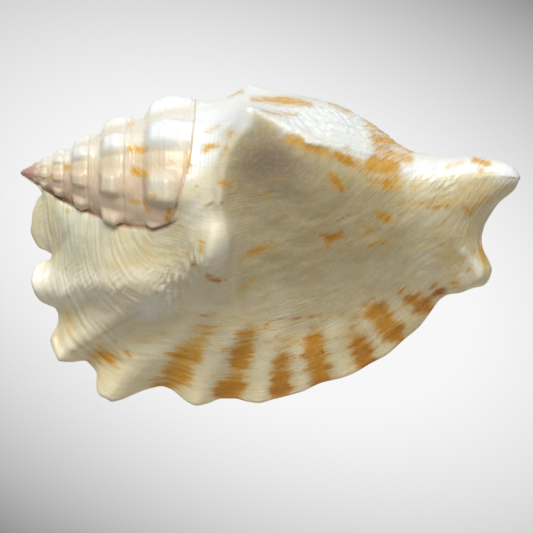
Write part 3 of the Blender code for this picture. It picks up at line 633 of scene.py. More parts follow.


# The markings
# Orange-brown bands run in from the lip's edge between its ribs, broken up along the growth lines, and
# small blots lie on the last turn and the spire. Ribs are worn white, and the apex is pink. Knobs and faces
# turned to the light are painted white as a highlight, and faces and hollows turned from it painted darker
# as shade.
# Each mark is given as its line of x, y, half width, then how strong it is and how dark.
STREAKS = [
    ([(38.9, -60.8, 2.5), (46.2, -60.3, 2.8)], 0.9, 0.5),
    ([(43.4, -58.0, 4.2), (47.0, -52.4, 4.2), (49.6, -48.7, 3.4), (52.1, -43.9, 3.4)], 0.85, 0.3),
    ([(58.6, -62.5, 3.9), (61.4, -56.3, 3.1), (62.8, -50.7, 3.4), (64.8, -45.1, 3.1)], 0.95, 0.45),
    ([(73.2, -62.5, 2.5), (73.5, -55.8, 3.1), (73.5, -50.7, 2.8)], 1.0, 0.6),
    ([(85.1, -58.6, 3.1), (83.4, -51.3, 3.9), (82.8, -44.5, 2.5)], 1.0, 0.6),
    ([(98.0, -54.6, 2.3), (96.1, -49.6, 3.1), (93.5, -44.5, 2.5)], 1.0, 0.6),
    ([(107.6, -47.9, 2.0), (104.2, -43.9, 3.9), (100.3, -39.7, 3.7), (96.9, -37.7, 2.0)], 0.95, 0.6),
    ([(114.9, -38.6, 2.3), (110.4, -36.1, 2.8), (107.0, -33.8, 1.7)], 1.0, 0.7),
    ([(119.2, -34.4, 1.1), (115.8, -31.5, 1.7)], 0.95, 0.75),
    ([(122.8, -31.5, 1.7), (120.0, -29.9, 1.4)], 0.6, 0.1),
    ([(130.4, -22.0, 0.6), (131.8, -26.8, 0.7)], 1.0, 0.3),
    ([(19.2, -52.1, 1.1), (25.9, -52.7, 2.3), (29.9, -50.7, 0.8)], 0.6, 0.15),
    ([(13.0, -40.0, 1.7), (14.1, -45.1, 1.4)], 0.45, 0.0),
]
BLOTCHES = [
    ([(85.1, -18.0, 0.8), (87.3, -18.6, 1.4), (90.7, -17.2, 0.7)], 1.0, 0.7),
    ([(86.5, -20.0, 0.6), (86.8, -21.4, 0.4)], 0.9, 0.5),
    ([(97.5, -15.8, 1.7)], 0.6, 0.3),
    ([(100.8, -11.8, 1.1), (103.1, -13.0, 1.4)], 0.95, 0.5),
    ([(98.0, -20.8, 0.6), (103.1, -19.2, 0.6)], 0.8, 0.4),
    ([(83.9, -23.7, 0.4), (87.6, -23.7, 0.3)], 0.6, 0.3),
    ([(100.3, -26.8, 0.3), (110.7, -21.1, 0.4)], 0.5, 0.2),
    ([(63.7, -23.9, 0.8), (67.0, -22.0, 1.4), (70.4, -20.3, 0.7)], 0.8, 0.2),
    ([(58.6, 21.7, 0.6), (62.5, 22.8, 0.4)], 0.9, 0.0),
    ([(65.6, 20.6, 0.6), (74.4, 20.0, 1.4), (81.7, 18.9, 0.8)], 0.85, 0.1),
    ([(68.2, 16.9, 0.4), (77.7, 16.1, 0.6)], 0.7, 0.1),
    ([(78.9, 22.0, 0.4), (85.9, 20.3, 0.4)], 0.7, 0.0),
    ([(87.3, 19.2, 0.6), (93.0, 16.9, 0.6)], 0.7, 0.0),
    ([(76.1, 9.0, 1.4), (80.6, 7.0, 1.1), (85.9, 5.4, 1.4)], 0.8, 0.1),
    ([(91.5, 6.2, 1.1)], 0.6, 0.2),
    ([(74.1, 8.7, 0.8)], 0.8, 0.4),
    ([(89.0, 4.8, 1.1), (92.1, 3.1, 1.4), (93.5, 2.3, 0.8)], 1.0, 0.45),
    ([(87.6, -0.8, 1.1), (89.3, -3.4, 1.4), (90.4, -4.8, 0.8)], 0.95, 0.45),
    ([(52.4, 6.5, 1.1), (55.8, 7.6, 0.6)], 0.9, 0.15),
    ([(56.9, 4.8, 0.7)], 0.6, 0.2),
    ([(59.4, 11.3, 0.4), (58.0, 6.2, 0.4)], 0.8, 0.2),
    ([(52.1, 11.3, 0.6), (56.1, 12.7, 0.6)], 0.6, 0.0),
    ([(48.2, 2.0, 0.7)], 0.8, 0.2),
    ([(47.0, 5.6, 0.7), (47.9, 0.0, 0.8)], 0.6, 0.0),
    ([(56.9, -2.5, 1.0), (60.3, -2.8, 0.8)], 0.7, 0.3),
    ([(68.7, -2.0, 0.6), (73.2, -2.0, 0.6)], 0.5, 0.3),
    ([(69.3, -7.0, 1.0)], 0.7, 0.25),
    ([(64.8, -11.5, 0.8)], 0.5, 0.2),
    ([(98.3, 14.9, 0.8), (103.1, 11.8, 1.1), (109.9, 6.2, 1.1)], 0.85, 0.0),
    ([(100.3, 9.0, 1.7), (107.0, 8.5, 1.7)], 0.75, 0.1),
    ([(103.7, 4.8, 2.3), (109.3, 3.9, 1.7)], 0.6, 0.1),
    ([(99.2, 2.0, 2.5), (104.8, 1.7, 2.3)], 0.95, 0.2),
    ([(103.1, -3.4, 2.0)], 0.85, 0.3),
    ([(110.7, -4.5, 1.4)], 0.5, 0.2),
    ([(114.9, -9.9, 0.6), (120.0, -9.3, 0.7)], 0.8, 0.5),
    ([(107.0, -11.5, 0.7), (112.1, -10.1, 0.6)], 0.5, 0.3),
    ([(127.9, 3.4, 0.8), (131.5, 2.3, 0.7)], 0.95, 0.1),
    ([(129.3, 0.6, 1.0)], 0.8, 0.1),
    ([(120.0, 1.1, 0.8), (124.5, 2.8, 0.8)], 0.5, 0.0),
    ([(124.8, -9.9, 0.7), (126.8, -11.8, 0.7)], 0.95, 0.45),
    ([(126.8, -10.7, 1.1), (131.3, -7.0, 1.1)], 0.65, 0.15),
    ([(122.8, -7.0, 0.6)], 0.6, 0.4),
    ([(124.2, -4.5, 0.8), (129.0, -2.8, 0.8)], 0.5, 0.05),
    ([(114.9, -16.1, 0.4)], 0.6, 0.5),
    ([(118.9, -14.9, 0.3)], 0.6, 0.5),
    ([(127.9, -22.0, 1.1), (124.5, -25.4, 1.1)], 0.5, 0.0),
    ([(122.8, -28.2, 0.6), (125.1, -25.9, 0.6)], 0.55, 0.1),
    ([(103.1, -24.2, 0.4), (118.3, -19.2, 0.6)], 0.5, 0.2),
    ([(13.5, 1.4, 0.8)], 1.0, 0.3),
    ([(8.5, -1.4, 0.5)], 0.8, 0.3),
    ([(14.9, -5.4, 0.6)], 0.8, 0.3),
    ([(31.3, 6.5, 1.0), (35.2, 6.2, 1.0)], 0.85, 0.05),
    ([(32.7, 0.3, 1.3), (35.5, -0.6, 1.1)], 0.95, 0.15),
    ([(31.3, 13.5, 0.7)], 0.8, 0.0),
    ([(31.3, -8.2, 0.6), (33.5, -8.5, 0.6)], 0.9, 0.2),
    ([(35.2, -8.5, 0.6), (36.3, -11.0, 0.7)], 0.8, 0.1),
    ([(38.0, -7.0, 0.7)], 0.8, 0.2),
    ([(42.3, -10.7, 0.6), (41.7, -13.0, 0.8)], 1.0, 0.65),
    ([(38.3, -12.1, 0.4)], 0.5, 0.2),
    ([(42.8, 2.8, 0.8)], 0.5, 0.0),
    ([(13.8, -11.0, 0.8)], 0.8, 0.2),
    ([(19.2, -14.6, 1.0)], 0.5, 0.4),
    ([(51.3, -19.7, 0.5), (51.3, -22.0, 0.4)], 1.0, 0.2),
    ([(49.0, -25.9, 0.7)], 1.0, 0.4),
    ([(47.3, -23.1, 0.6)], 0.8, 0.1),
    ([(21.7, -48.7, 0.4), (22.8, -49.3, 0.3)], 0.6, 0.2),
    ([(26.8, -47.6, 0.6)], 0.7, 0.2),
    ([(29.9, -50.7, 0.5), (30.7, -52.4, 0.5)], 0.9, 0.3),
    ([(39.4, -40.6, 1.4)], 0.4, 0.0),
    ([(53.0, -29.3, 0.6), (55.8, -30.4, 0.7)], 1.0, 0.6),
    ([(61.4, -33.2, 0.4), (65.1, -30.7, 0.7)], 0.8, 0.25),
    ([(55.5, -36.9, 0.4), (59.2, -36.3, 0.4)], 0.5, 0.2),
    ([(98.3, 13.2, 2.0), (102.0, 6.2, 2.5), (105.4, -3.9, 2.3)], 0.52, 0.2),
    ([(93.0, 3.4, 1.7), (99.2, -1.7, 2.3)], 0.5, 0.3),
    ([(97.5, 14.4, 0.8), (106.5, 8.5, 1.1)], 0.8, 0.0),
    ([(105.9, -9.0, 0.6), (116.3, -8.5, 0.8), (121.7, -7.9, 0.6)], 0.6, 0.5),
    ([(78.9, 8.2, 1.1), (83.9, 5.9, 1.1), (88.5, 4.5, 1.1)], 0.7, 0.3),
    ([(75.5, 9.9, 0.8), (78.9, 8.7, 1.1)], 0.8, 0.3),
    ([(128.5, -9.3, 0.7), (130.4, -2.3, 0.8)], 0.5, 0.3),
    ([(118.3, -20.3, 0.8), (126.8, -16.9, 0.6)], 0.4, 0.0),
    ([(121.7, -29.3, 0.8), (126.8, -27.0, 0.8)], 0.5, 0.2),
    ([(56.9, -50.7, 0.8), (60.8, -49.3, 1.1)], 0.55, 0.1),
    ([(62.8, -47.3, 1.1), (67.0, -46.8, 0.8)], 0.5, 0.1),
    ([(69.3, -48.2, 0.8), (74.6, -47.3, 1.1), (79.4, -46.8, 0.8)], 0.55, 0.2),
    ([(85.1, -41.1, 1.1), (91.5, -39.7, 1.1)], 0.5, 0.1),
    ([(93.0, -41.7, 1.1), (96.9, -39.7, 1.4)], 0.55, 0.2),
    ([(51.5, -40.6, 0.8), (56.3, -39.4, 0.8)], 0.5, 0.1),
    ([(87.3, -47.3, 0.8), (91.8, -46.5, 0.8)], 0.45, 0.1),
    (
        [(69.0, -43.9, 0.2), (69.9, -42.8, 0.1), (73.5, -41.7, 0.1), (78.6, -41.1, 0.1), (84.8, -40.8, 0.1)],
        0.8, 0.5,
    ),
    ([(71.3, -48.5, 0.3), (78.9, -48.2, 0.3)], 0.6, 0.2),
]
# Yellowed places, and painted shade under four of the spire's knobs: line as x, y, half width, then strength
YELLOWED_AND_SHADE = [
    ([(28.7, -15.2, 0.6), (28.7, -19.2, 0.6)], 0.8),
    ([(36.1, -19.4, 0.6), (36.1, -23.9, 0.6)], 0.8),
    ([(11.0, -24.8, 0.8), (15.8, -25.1, 0.8)], 0.5),
    ([(19.4, -22.5, 0.8), (19.4, -26.5, 0.8)], 0.5),
    ([(26.5, -25.6, 0.8), (32.4, -25.4, 0.7)], 0.7),
    ([(13.0, -40.0, 2.0), (13.5, -45.1, 1.7)], 0.9),
    ([(17.5, -36.1, 1.7)], 0.6),
    ([(21.4, -50.1, 2.3), (24.8, -54.1, 2.3)], 0.9),
    ([(32.7, -48.2, 1.7)], 0.6),
    ([(41.4, -40.3, 1.4)], 0.5),
    ([(78.9, 6.2, 3.4), (87.3, 3.4, 2.3)], 0.5),
    ([(98.6, 4.8, 3.9), (107.0, 3.4, 2.8)], 0.6),
    ([(91.5, -20.8, 2.3)], 0.4),
    ([(77.5, -18.0, 0.8)], 0.6),
    ([(31.0, 14.6, 1.4)], 0.3),
    # The next four: painted shade on the lower sides of spire knobs, in the yellowed tone
    ([(39.4, 5.6, 1.1), (45.1, 6.2, 1.1)], 0.55),
    ([(38.9, -7.0, 1.1), (42.8, -6.8, 1.1)], 0.6),
    ([(18.0, 1.4, 1.1), (20.3, 1.7, 0.8)], 0.6),
    ([(45.6, 1.7, 1.4), (47.9, 3.4, 1.1)], 0.6),
    ([(62.0, -25.4, 1.7), (68.2, -24.2, 1.7)], 0.45),
    ([(93.0, -12.1, 2.3), (112.7, -14.9, 1.7)], 0.35),
    ([(119.7, -7.9, 2.3), (126.8, -6.5, 2.3)], 0.6),
    ([(118.3, -27.0, 1.7), (114.1, -33.2, 1.4)], 0.6),
    ([(119.2, -23.1, 2.5), (123.9, -24.8, 2.3)], 1.0),
    ([(122.5, -27.0, 2.0), (127.9, -28.2, 1.7)], 1.0),
    ([(95.8, -22.0, 1.4), (115.5, -18.6, 1.7), (122.5, -16.3, 1.1)], 0.5),
    ([(47.9, -44.5, 1.7), (67.6, -43.9, 2.3), (87.3, -40.6, 1.7)], 0.6),
    ([(52.1, -50.1, 1.4), (78.9, -48.7, 1.7), (91.5, -44.5, 1.4)], 0.7),
    ([(60.8, -41.7, 1.4), (66.5, -40.6, 1.4)], 0.8),
    ([(90.1, -36.1, 1.4), (100.0, -32.7, 1.4)], 0.6),
    ([(11.3, -16.9, 1.4), (16.9, -14.1, 1.1)], 0.4),
    ([(42.3, -50.1, 1.7), (36.6, -56.3, 1.7)], 0.5),
    ([(123.9, -25.4, 1.4), (128.2, -30.4, 1.4)], 0.9),
    ([(118.3, -17.7, 2.3), (122.5, -12.1, 1.7)], 0.5),
    ([(105.6, 11.8, 2.3), (102.8, 3.4, 3.4), (105.6, -2.8, 2.3)], 0.7),
    ([(11.3, -33.2, 1.1), (22.5, -33.8, 1.1)], 0.5),
]

# Scratches and pits, and one painted shade line below the second lip rib: line as x, y, reach, then strength
SCRATCHES_AND_SHADE_LINE = [
    ([(51.8, -9.6), (54.6, -8.5), (57.2, -8.2)], 0.20, 0.7),
    ([(88.5, -14.1), (90.7, -13.0), (93.0, -11.8)], 0.18, 0.6),
    ([(69.0, -43.9), (69.9, -42.8), (73.5, -41.7), (78.6, -41.1), (84.8, -40.8)], 0.20, 0.6),
    # Painted shade along the lower side of the second lip rib, not a scratch
    ([(14.6, -51.0), (25.4, -44.5), (33.8, -39.4)], 0.5, 0.25),
    ([(85.4, -51.0)] * 2, 0.3, 1.0), ([(58.0, -30.4)] * 2, 0.22, 1.0), ([(49.9, -3.9)] * 2, 0.3, 0.8),
    ([(99.7, -35.8)] * 2, 0.3, 0.5),
]
STREAK_SOFT, BLOTCH_SOFT, YELLOW_SOFT = 5.0, 2.6, 6.0  # millimetres over which a mark's border fades
STREAK_FADE = 0.5  # share of its strength that a streak loses from the lip's edge inwards
SEEN_FROM_ABOVE = (-0.2, 0.1)  # how far a face leans up for the marks to show on it


def marked(marks, soft, fade=0.0):
    """Strength and darkness, all over, of the strongest mark there. Strength is half at a mark's border.

    It falls by the share fade from a mark's first point to its last."""
    strength = np.zeros_like(growth)
    darkness = np.zeros_like(growth)
    for line, *look in marks:
        line = np.array(line, float)
        if len(line) == 1:
            line = np.concatenate([line, line + (0.01, 0, 0)])
        gap, run_at = near_line(from_above, line[:, :2])
        half_width = np.interp(run_at, np.linspace(0, 1, len(line)), line[:, 2])
        here = np.clip(0.5 - (gap - half_width) / soft, 0, 1) * look[0] * (1 - fade * run_at**2)
        darkness = np.where(here > strength, look[-1], darkness)
        strength = np.maximum(strength, here)
    return strength, darkness


streak, streak_dark = marked(STREAKS, STREAK_SOFT, STREAK_FADE)
blotch, blotch_dark = marked(BLOTCHES, BLOTCH_SOFT)
yellowed_and_shade, _ = marked(YELLOWED_AND_SHADE, YELLOW_SOFT)
seen = ease(out_way[..., 2], *SEEN_FROM_ABOVE)
streak, blotch, yellowed_and_shade = streak * seen, blotch * seen, yellowed_and_shade * seen

# Places painted lighter, standing in for light on shaded slopes and for a highlight beside the large knob:
# x, y of the middle, reach along x and y, then strength
PAINTED_LIGHT_PATCHES = [
    (49.5, -12.0, 4.5, 8.0, 0.7), (56.0, -21.5, 5.5, 5.5, 0.75), (37.0, -38.0, 9.0, 6.0, 0.8),
    (125.5, -28.0, 4.5, 4.5, 0.7),
]
TOP_KNOB = (64.0, 15.0, 5.0)  # x of its section, y, reach
CORNER_RIDGE = ([(124.5, -22.0), (127.5, -24.8), (129.5, -28.5)], 1.3)
CORNER_LOBE = (127.5, -28.5, 6.0, 4.5)
# Painted shade: the flat flank below the keel, where it turns from the light, is painted taupe
SHADED_FLANK = (70.0, 3.0, 13.0, 9.5)  # the flat flank below the keel
# Places where the painted olive shade is held off: the lower large knob and its side
BODY_KNOB, BODY_KNOB_SIDE = (57.0, -22.0, 7.0, 6.0), (63.0, -16.0, 9.0, 7.0)  # the lower large knob

# Tints, 0 to 1: worn white crests and glaze, with painted highlight on faces turned to the light, the
# spire's peach, deepened away from the light as painted shade, the lip's greenish ivory, painted taupe shade
# on the flank, painted olive shade on faces turned from the light below the crest and between the spire's
# knobs, and dark lines along the lip's root, with painted shade in the last turn's groove
backwards, forwards = out_way[..., 1], -out_way[..., 1]
off_spire = 1 - on_spire
rib_crest = ease(np.concatenate([0 * core_angle, ribs], axis=1), 0.4, 3.0) * on_lip
knob_crest = ease(coil_radius(x_all, around) - through(RADIUS, x_all)[..., 0], 0.2, 4.0) * on_spire
# The spire's side turned to the light, where its white is a painted highlight
lit_side = 1 - ease(around, 48, 80)
crest_glaze = crest_run * (1 - ease(past_crest, -0.8, 1.0)) * ease(past_crest, -12, -5) * off_spire
corner_lobe = patch(*CORNER_LOBE) * on_lip
white_and_highlight = np.maximum.reduce([
    # Crests of the lip's ribs, and painted highlight on the spire and its knobs, most on their lit side
    (0.40 + 0.25 * (1 - ease(x_all, 20, 45))) * rib_crest,
    on_spire * (0.25 + 0.35 * lit_side + knob_crest * (0.12 + 0.38 * lit_side)),
    # The slope up to the last shoulder, the glaze on its crest, and painted highlight where the shell's back
    # turns to the light
    0.9 * ramp * (1 - on_lip),
    crest_glaze * (0.4 + 0.3 * bell((y_seen + 14.5) / 5)),
    0.85 * ease(backwards, -0.15, 0.45) * (1 - on_lip) * off_spire * ease(x_all, 52, 58),
    # The top knob, and the corner beside the canal, painted lighter where its slope lies in shade
    bell(np.hypot(x_all - TOP_KNOB[0], y_seen - TOP_KNOB[1]) / TOP_KNOB[2]),
    0.25 * corner_lobe,
    0.9 * along_line(*CORNER_RIDGE),
    # Wrinkled, worn, striated and crackled places, and the canal's tip; the striated place is whiter where
    # it faces the light and the crackled one white partly for its glints, both painted highlight
    0.9 * wrinkled,
    worn,
    striated * (0.45 + 0.55 * ease(backwards, -0.05, 0.5)),
    crackled,
    ease(x_all, 130, 136) * ease(y_seen, -6, -1),
    # Bands along the ribs, the pale ridges, and the places painted lighter for light on them
    *[0.36 * along_line(line, half_width) * ease(-y_seen, 20, 30) for _, half_width, line in LIP_RIBS],
    *[along_line(line, 1.2 * half_width) for line, half_width, _ in PALE_RIDGES],
    *[strength * patch(*place) for *place, strength in PAINTED_LIGHT_PATCHES],
])
# Peach of the spire, deeper on its top and front away from the light as painted shade
peach_and_shade = on_spire * (0.8 - 0.4 * knob_crest) * (0.35 + 0.65 * ease(around, 50, 100))
apex_pink = 1 - ease(x_all, 2.5, 7.0)
# Greenish ivory of the lip's first lobes, and on the spire's knobs turned from the light as the painted
# shade of their white
green = on_lip * (1 - ease(x_all, 22, 34)) + 0.8 * on_spire * knob_crest * ease(around, 30, 80)
# Painted shade: taupe on the flat flank below the keel, where it faces away from the light
taupe_shade = patch(*SHADED_FLANK) * off_spire * ease(forwards, -0.25, 0.1) * ease(past_crest, -0.8, 1.6)
on_body = 1 - ease(np.concatenate([0 * core_angle, share], axis=1), 0.3, 0.85)
# Painted shade: olive on the body's faces turned from the light, below the shoulder's crest
olive_shade = off_spire * on_body * ease(forwards, -0.05, 0.45) * ease(past_crest, -0.8, 2.4)
olive_shade *= (1 - 0.6 * ease(x_all, 104, 112)) * (1 - corner_lobe)
olive_shade *= (1 - 0.9 * patch(*BODY_KNOB)) * (1 - 0.5 * patch(*BODY_KNOB_SIDE))
# Painted shade between the spire's knobs, deepest on their side away from the light
shade_between_knobs = on_spire * (1 - ease(knob_crest, 0.0, 0.7)) * ease(x_all, 8, 16)
olive_shade = np.maximum(olive_shade, shade_between_knobs * (0.15 + 0.5 * ease(around, 55, 115)))
# A dark line along the lip's root where it meets the spire
lip_root_line = bell((root_growth - growth - 0.25) / 0.55) * over_spire * ease(x_all, 7, 9)
dark_lines_and_shade = np.maximum.reduce([
    lip_root_line,
    # Painted shade in the groove before the last turn's front edge
    0.35 * turn_groove * ease(around, 60, 90),
    *[strength * along_line(line, reach) for line, reach, strength in SCRATCHES_AND_SHADE_LINE],
])


def all_round(values):
    """The values for the outside, carried on as nothing over the lip's underside and the mouth."""
    return np.concatenate([values, np.zeros((SECTIONS, point_count - outside_count))], axis=1)


hidden = np.ones((SECTIONS, point_count))
hidden[:, :outside_count] = 0

skin[:, :outside_count] += out_way * relief[..., None]
lean = np.array(Euler([math.radians(d) for d in REST_TURN] + [0]).to_matrix())
skin = skin @ lean.T - REST_PLACE
skin[..., 2] = np.maximum(skin[..., 2], 0)

MERGE_GAP, SLIVER = 0.005 * MM, 0.002 * MM  # points closer than this are joined, faces thinner are dropped
shell_mesh = bpy.data.meshes.new("conch_shell_skin")
index = np.arange(SECTIONS * point_count).reshape(SECTIONS, point_count)
ahead = np.roll(index, -1, axis=1)
faces = np.stack([index[:-1], ahead[:-1], ahead[1:], index[1:]], axis=-1).reshape(-1, 4)
shell_mesh.from_pydata((skin.reshape(-1, 3) * MM).tolist(), [], faces.tolist())
for name, parts in {
    "marks": (all_round(streak), all_round(blotch), all_round(np.maximum(streak_dark, blotch_dark))),
    "tints": (all_round(white_and_highlight), all_round(peach_and_shade), all_round(green)),
    "tones": (all_round(taupe_shade), all_round(yellowed_and_shade), all_round(dark_lines_and_shade)),
    "grain": (all_round(cords), all_round(growth), hidden),
    "apex": (all_round(apex_pink), all_round(on_lip), all_round(olive_shade)),
}.items():
    layer = shell_mesh.attributes.new(name, "FLOAT_VECTOR", "POINT")
    layer.data.foreach_set("vector", np.stack(parts, axis=-1).astype(np.float32).ravel())
work = bmesh.new()
work.from_mesh(shell_mesh)
bmesh.ops.remove_doubles(work, verts=work.verts, dist=MERGE_GAP)
bmesh.ops.dissolve_degenerate(work, edges=work.edges, dist=SLIVER)
bmesh.ops.recalc_face_normals(work, faces=work.faces)
work.to_mesh(shell_mesh)
work.free()
shell_mesh.shade_smooth()
shell = bpy.data.objects.new("conch_shell_skin", shell_mesh)
bpy.context.scene.collection.objects.link(shell)


# The shell's finish
# Glazed natural shell: cream under a thin gloss, tinted, stained, and painted lighter and darker for light
# and shade in the places set out above. The grain of growth lines and cords breaks up every stain's border
# and shows as faint relief under the gloss.
grown_shell = bpy.data.materials.new("grown_shell")
grown_shell.use_nodes = True
nodes = grown_shell.node_tree.nodes
links = grown_shell.node_tree.links
surface = nodes["Principled BSDF"]


def paint(red, green, blue):
    """Colour from its 0 to 255 display values."""
    return tuple((v / 12.92 if v <= 0.04045 else ((v + 0.055) / 1.055) ** 2.4) for v in
                 (red / 255, green / 255, blue / 255)) + (1.0,)


def plug(socket, value):
    if isinstance(value, bpy.types.NodeSocket):
        links.new(value, socket)
    else:
        socket.default_value = value


def reckon(operation, *values):
    """The first value with each of the others added to it, taken from it and so on, in turn."""
    total = values[0]
    for value in values[1:]:
        node = nodes.new("ShaderNodeMath")
        node.operation = operation
        plug(node.inputs[0], total)
        plug(node.inputs[1], value)
        total = node.outputs[0]
    return total


def without(value):
    return reckon("SUBTRACT", 1.0, value)


def between(value, low, high):
    """0 where the value is under low, 1 over high, smooth between."""
    node = nodes.new("ShaderNodeMapRange")
    node.interpolation_type = "SMOOTHSTEP"
    plug(node.inputs["Value"], value)
    plug(node.inputs["From Min"], low)
    plug(node.inputs["From Max"], high)
    return node.outputs["Result"]


def tinted(under, over, *amounts):
    """One colour with another laid over it, as strongly as the product of the amounts."""
    node = nodes.new("ShaderNodeMix")
    node.data_type = "RGBA"
    plug(node.inputs["Factor"], reckon("MULTIPLY", *amounts))
    plug(node.inputs[6], under)
    plug(node.inputs[7], over)
    return node.outputs[2]


def parts_of(name):
    attribute = nodes.new("ShaderNodeAttribute")
    attribute.attribute_name = name
    split = nodes.new("ShaderNodeSeparateXYZ")
    links.new(attribute.outputs["Vector"], split.inputs[0])
    return split.outputs


def cloud(places, scale, detail=2.0, roughness=0.5):
    """Random values about 0.5."""
    node = nodes.new("ShaderNodeTexNoise")
    plug(node.inputs["Vector"], places)
    plug(node.inputs["Scale"], scale)
    plug(node.inputs["Detail"], detail)
    plug(node.inputs["Roughness"], roughness)
    return node.outputs["Fac"]


def drawn_out(cords_scale, growth_scale, offset):
    """Places in the grain: how closely clouds are set across the cords and across the growth lines."""
    join = nodes.new("ShaderNodeCombineXYZ")
    plug(join.inputs[0], reckon("MULTIPLY", cord_place, cords_scale))
    plug(join.inputs[1], reckon("MULTIPLY", growth_place, growth_scale))
    plug(join.inputs[2], offset)
    return join.outputs[0]


cord_place, growth_place, hidden_side = parts_of("grain")
streak_here, blotch_here, dark_here = parts_of("marks")
white_and_highlight_here, peach_and_shade_here, green_here = parts_of("tints")
taupe_shade_here, yellow_and_shade_here, dark_lines_and_shade_here = parts_of("tones")
apex_here, lip_here, olive_shade_here = parts_of("apex")
solid_places = nodes.new("ShaderNodeTexCoord").outputs["Object"]


def around_none(value, strength):
    """A cloud's value brought to lie about 0, times strength."""
    return reckon("MULTIPLY", reckon("SUBTRACT", value, 0.5), strength)


# Clouds drawn out along the grain, then two that lie evenly in the shell
patches = cloud(drawn_out(0.07, 0.17, 30.0), 1.0, 3.0, 0.55)
bands = cloud(drawn_out(0.11, 0.42, 0.0), 1.0, 4.0, 0.60)
fine_bands = cloud(drawn_out(0.34, 1.3, 2.0), 1.0, 3.0, 0.6)
fine_lines = cloud(drawn_out(0.07, 2.2, 4.0), 1.0, 3.0, 0.6)
cord_lines = cloud(drawn_out(1.6, 0.08, 8.0), 1.0, 2.0, 0.5)
blot_edges = cloud(drawn_out(0.30, 0.80, 12.0), 1.0, 4.0, 0.65)
smears = cloud(drawn_out(0.20, 0.30, 20.0), 1.0, 5.0, 0.62)
speckle = cloud(drawn_out(0.8, 1.5, 40.0), 1.0, 3.0, 0.65)
mottle = cloud(solid_places, 60.0, 4.0, 0.6)
grit = cloud(solid_places, 650.0, 3.0, 0.6)

# The olive and taupe are painted shade; the cool white is partly a painted highlight
IVORY, WARM_IVORY, GREEN_IVORY = paint(230, 219, 184), paint(222, 205, 160), paint(224, 223, 198)
SHADE_OLIVE, DEEP_SHADE_OLIVE = paint(210, 193, 150), paint(198, 178, 126)
PEACH, SHADE_TAUPE, APEX_PINK = paint(228, 196, 174), paint(138, 119, 99), paint(205, 155, 142)
YELLOWED_IVORY_AND_SHADE, OCHRE_SMEAR = paint(226, 198, 134), paint(224, 184, 112)
COOL_WHITE_AND_HIGHLIGHT, LIP_WHITE = paint(246, 249, 250), paint(246, 241, 226)
STAIN_HALO, PALE_STAIN, STAIN, DARK_STAIN = (
    paint(224, 182, 98), paint(222, 170, 70), paint(204, 136, 0), paint(178, 100, 0),
)
DARK_SPECK, PALE_SPECK, LINE_BROWN = paint(170, 142, 92), paint(246, 242, 228), paint(176, 150, 108)
LINE_AND_SHADE_BROWN, MOUTH_PEACH = paint(134, 62, 26), paint(238, 214, 190)

# The ground colour, its tints, and the painted shade and highlight
colour = tinted(IVORY, WARM_IVORY, between(mottle, 0.35, 0.68))
colour = tinted(colour, GREEN_IVORY, green_here, 0.8)
# Painted shade: olive on faces turned from the light
colour = tinted(colour, tinted(SHADE_OLIVE, DEEP_SHADE_OLIVE, between(smears, 0.38, 0.62)), olive_shade_here, 0.9)
colour = tinted(colour, PEACH, peach_and_shade_here, 0.85)
# Painted shade: taupe on the flat flank
colour = tinted(colour, SHADE_TAUPE, taupe_shade_here, 0.95)
yellow_edge = reckon("MULTIPLY", lip_here, without(between(growth_place, 4.0, 22.0)), 0.45)
yellow_and_shade = reckon("ADD", reckon("MAXIMUM", yellow_and_shade_here, yellow_edge), around_none(bands, 0.8))
# Yellowed ivory, also painted shade under four of the spire's knobs
colour = tinted(colour, YELLOWED_IVORY_AND_SHADE, between(yellow_and_shade, 0.1, 0.95), 0.8)
off_taupe_shade = without(between(taupe_shade_here, 0.1, 0.5))
colour = tinted(colour, OCHRE_SMEAR, between(smears, 0.52, 0.72), off_taupe_shade, 0.42)
# Worn white, with painted highlight where faces turn to the light, cool on the coil
worn_white_and_highlight = between(reckon("ADD", white_and_highlight_here, around_none(mottle, 0.9)), 0.2, 1.0)
colour = tinted(colour, tinted(COOL_WHITE_AND_HIGHLIGHT, LIP_WHITE, lip_here), worn_white_and_highlight, 0.9)
colour = tinted(colour, APEX_PINK, apex_here)

# The stains: a pale halo, then streaks and blots with ragged borders, darkest at the lip's edge
halo = reckon("ADD", reckon("MAXIMUM", streak_here, blotch_here), around_none(bands, 0.8))
colour = tinted(colour, STAIN_HALO, between(halo, 0.05, 0.8), 0.5)
ragged_streak = reckon(
    "ADD", reckon("MULTIPLY", streak_here, 0.95), around_none(patches, 1.0), around_none(bands, 1.2),
    around_none(fine_bands, 0.7), around_none(grit, 0.35), around_none(fine_lines, 0.2),
)
ragged_blot = reckon(
    "ADD", blotch_here, around_none(blot_edges, 1.2), around_none(fine_bands, 0.9), around_none(grit, 0.3),
)
stained = reckon("MAXIMUM", between(ragged_streak, 0.22, 0.74), between(ragged_blot, 0.22, 0.85))
stain_tone = reckon(
    "ADD", dark_here, around_none(bands, 1.6), around_none(patches, 0.8),
    reckon("MULTIPLY", without(between(growth_place, 1.0, 20.0)), lip_here, 0.35),
    reckon("MULTIPLY", lip_here, -0.2),
)
stain = tinted(PALE_STAIN, STAIN, between(stain_tone, 0.0, 0.5))
stain = tinted(stain, DARK_STAIN, between(stain_tone, 0.5, 1.15))
colour = tinted(colour, stain, stained, 0.9)

# Specks, growth lines, the brown lines with painted shade in the last turn's groove and below the second
# rib, and the plain mouth
colour = tinted(colour, DARK_SPECK, between(speckle, 0.48, 0.68), 0.10)
colour = tinted(colour, PALE_SPECK, between(speckle, 0.52, 0.34), 0.10)
colour = tinted(colour, LINE_BROWN, without(between(fine_lines, 0.36, 0.52)), 0.08)
colour = tinted(colour, LINE_AND_SHADE_BROWN, dark_lines_and_shade_here, 0.85)
colour = tinted(colour, MOUTH_PEACH, hidden_side)
links.new(colour, surface.inputs["Base Color"])

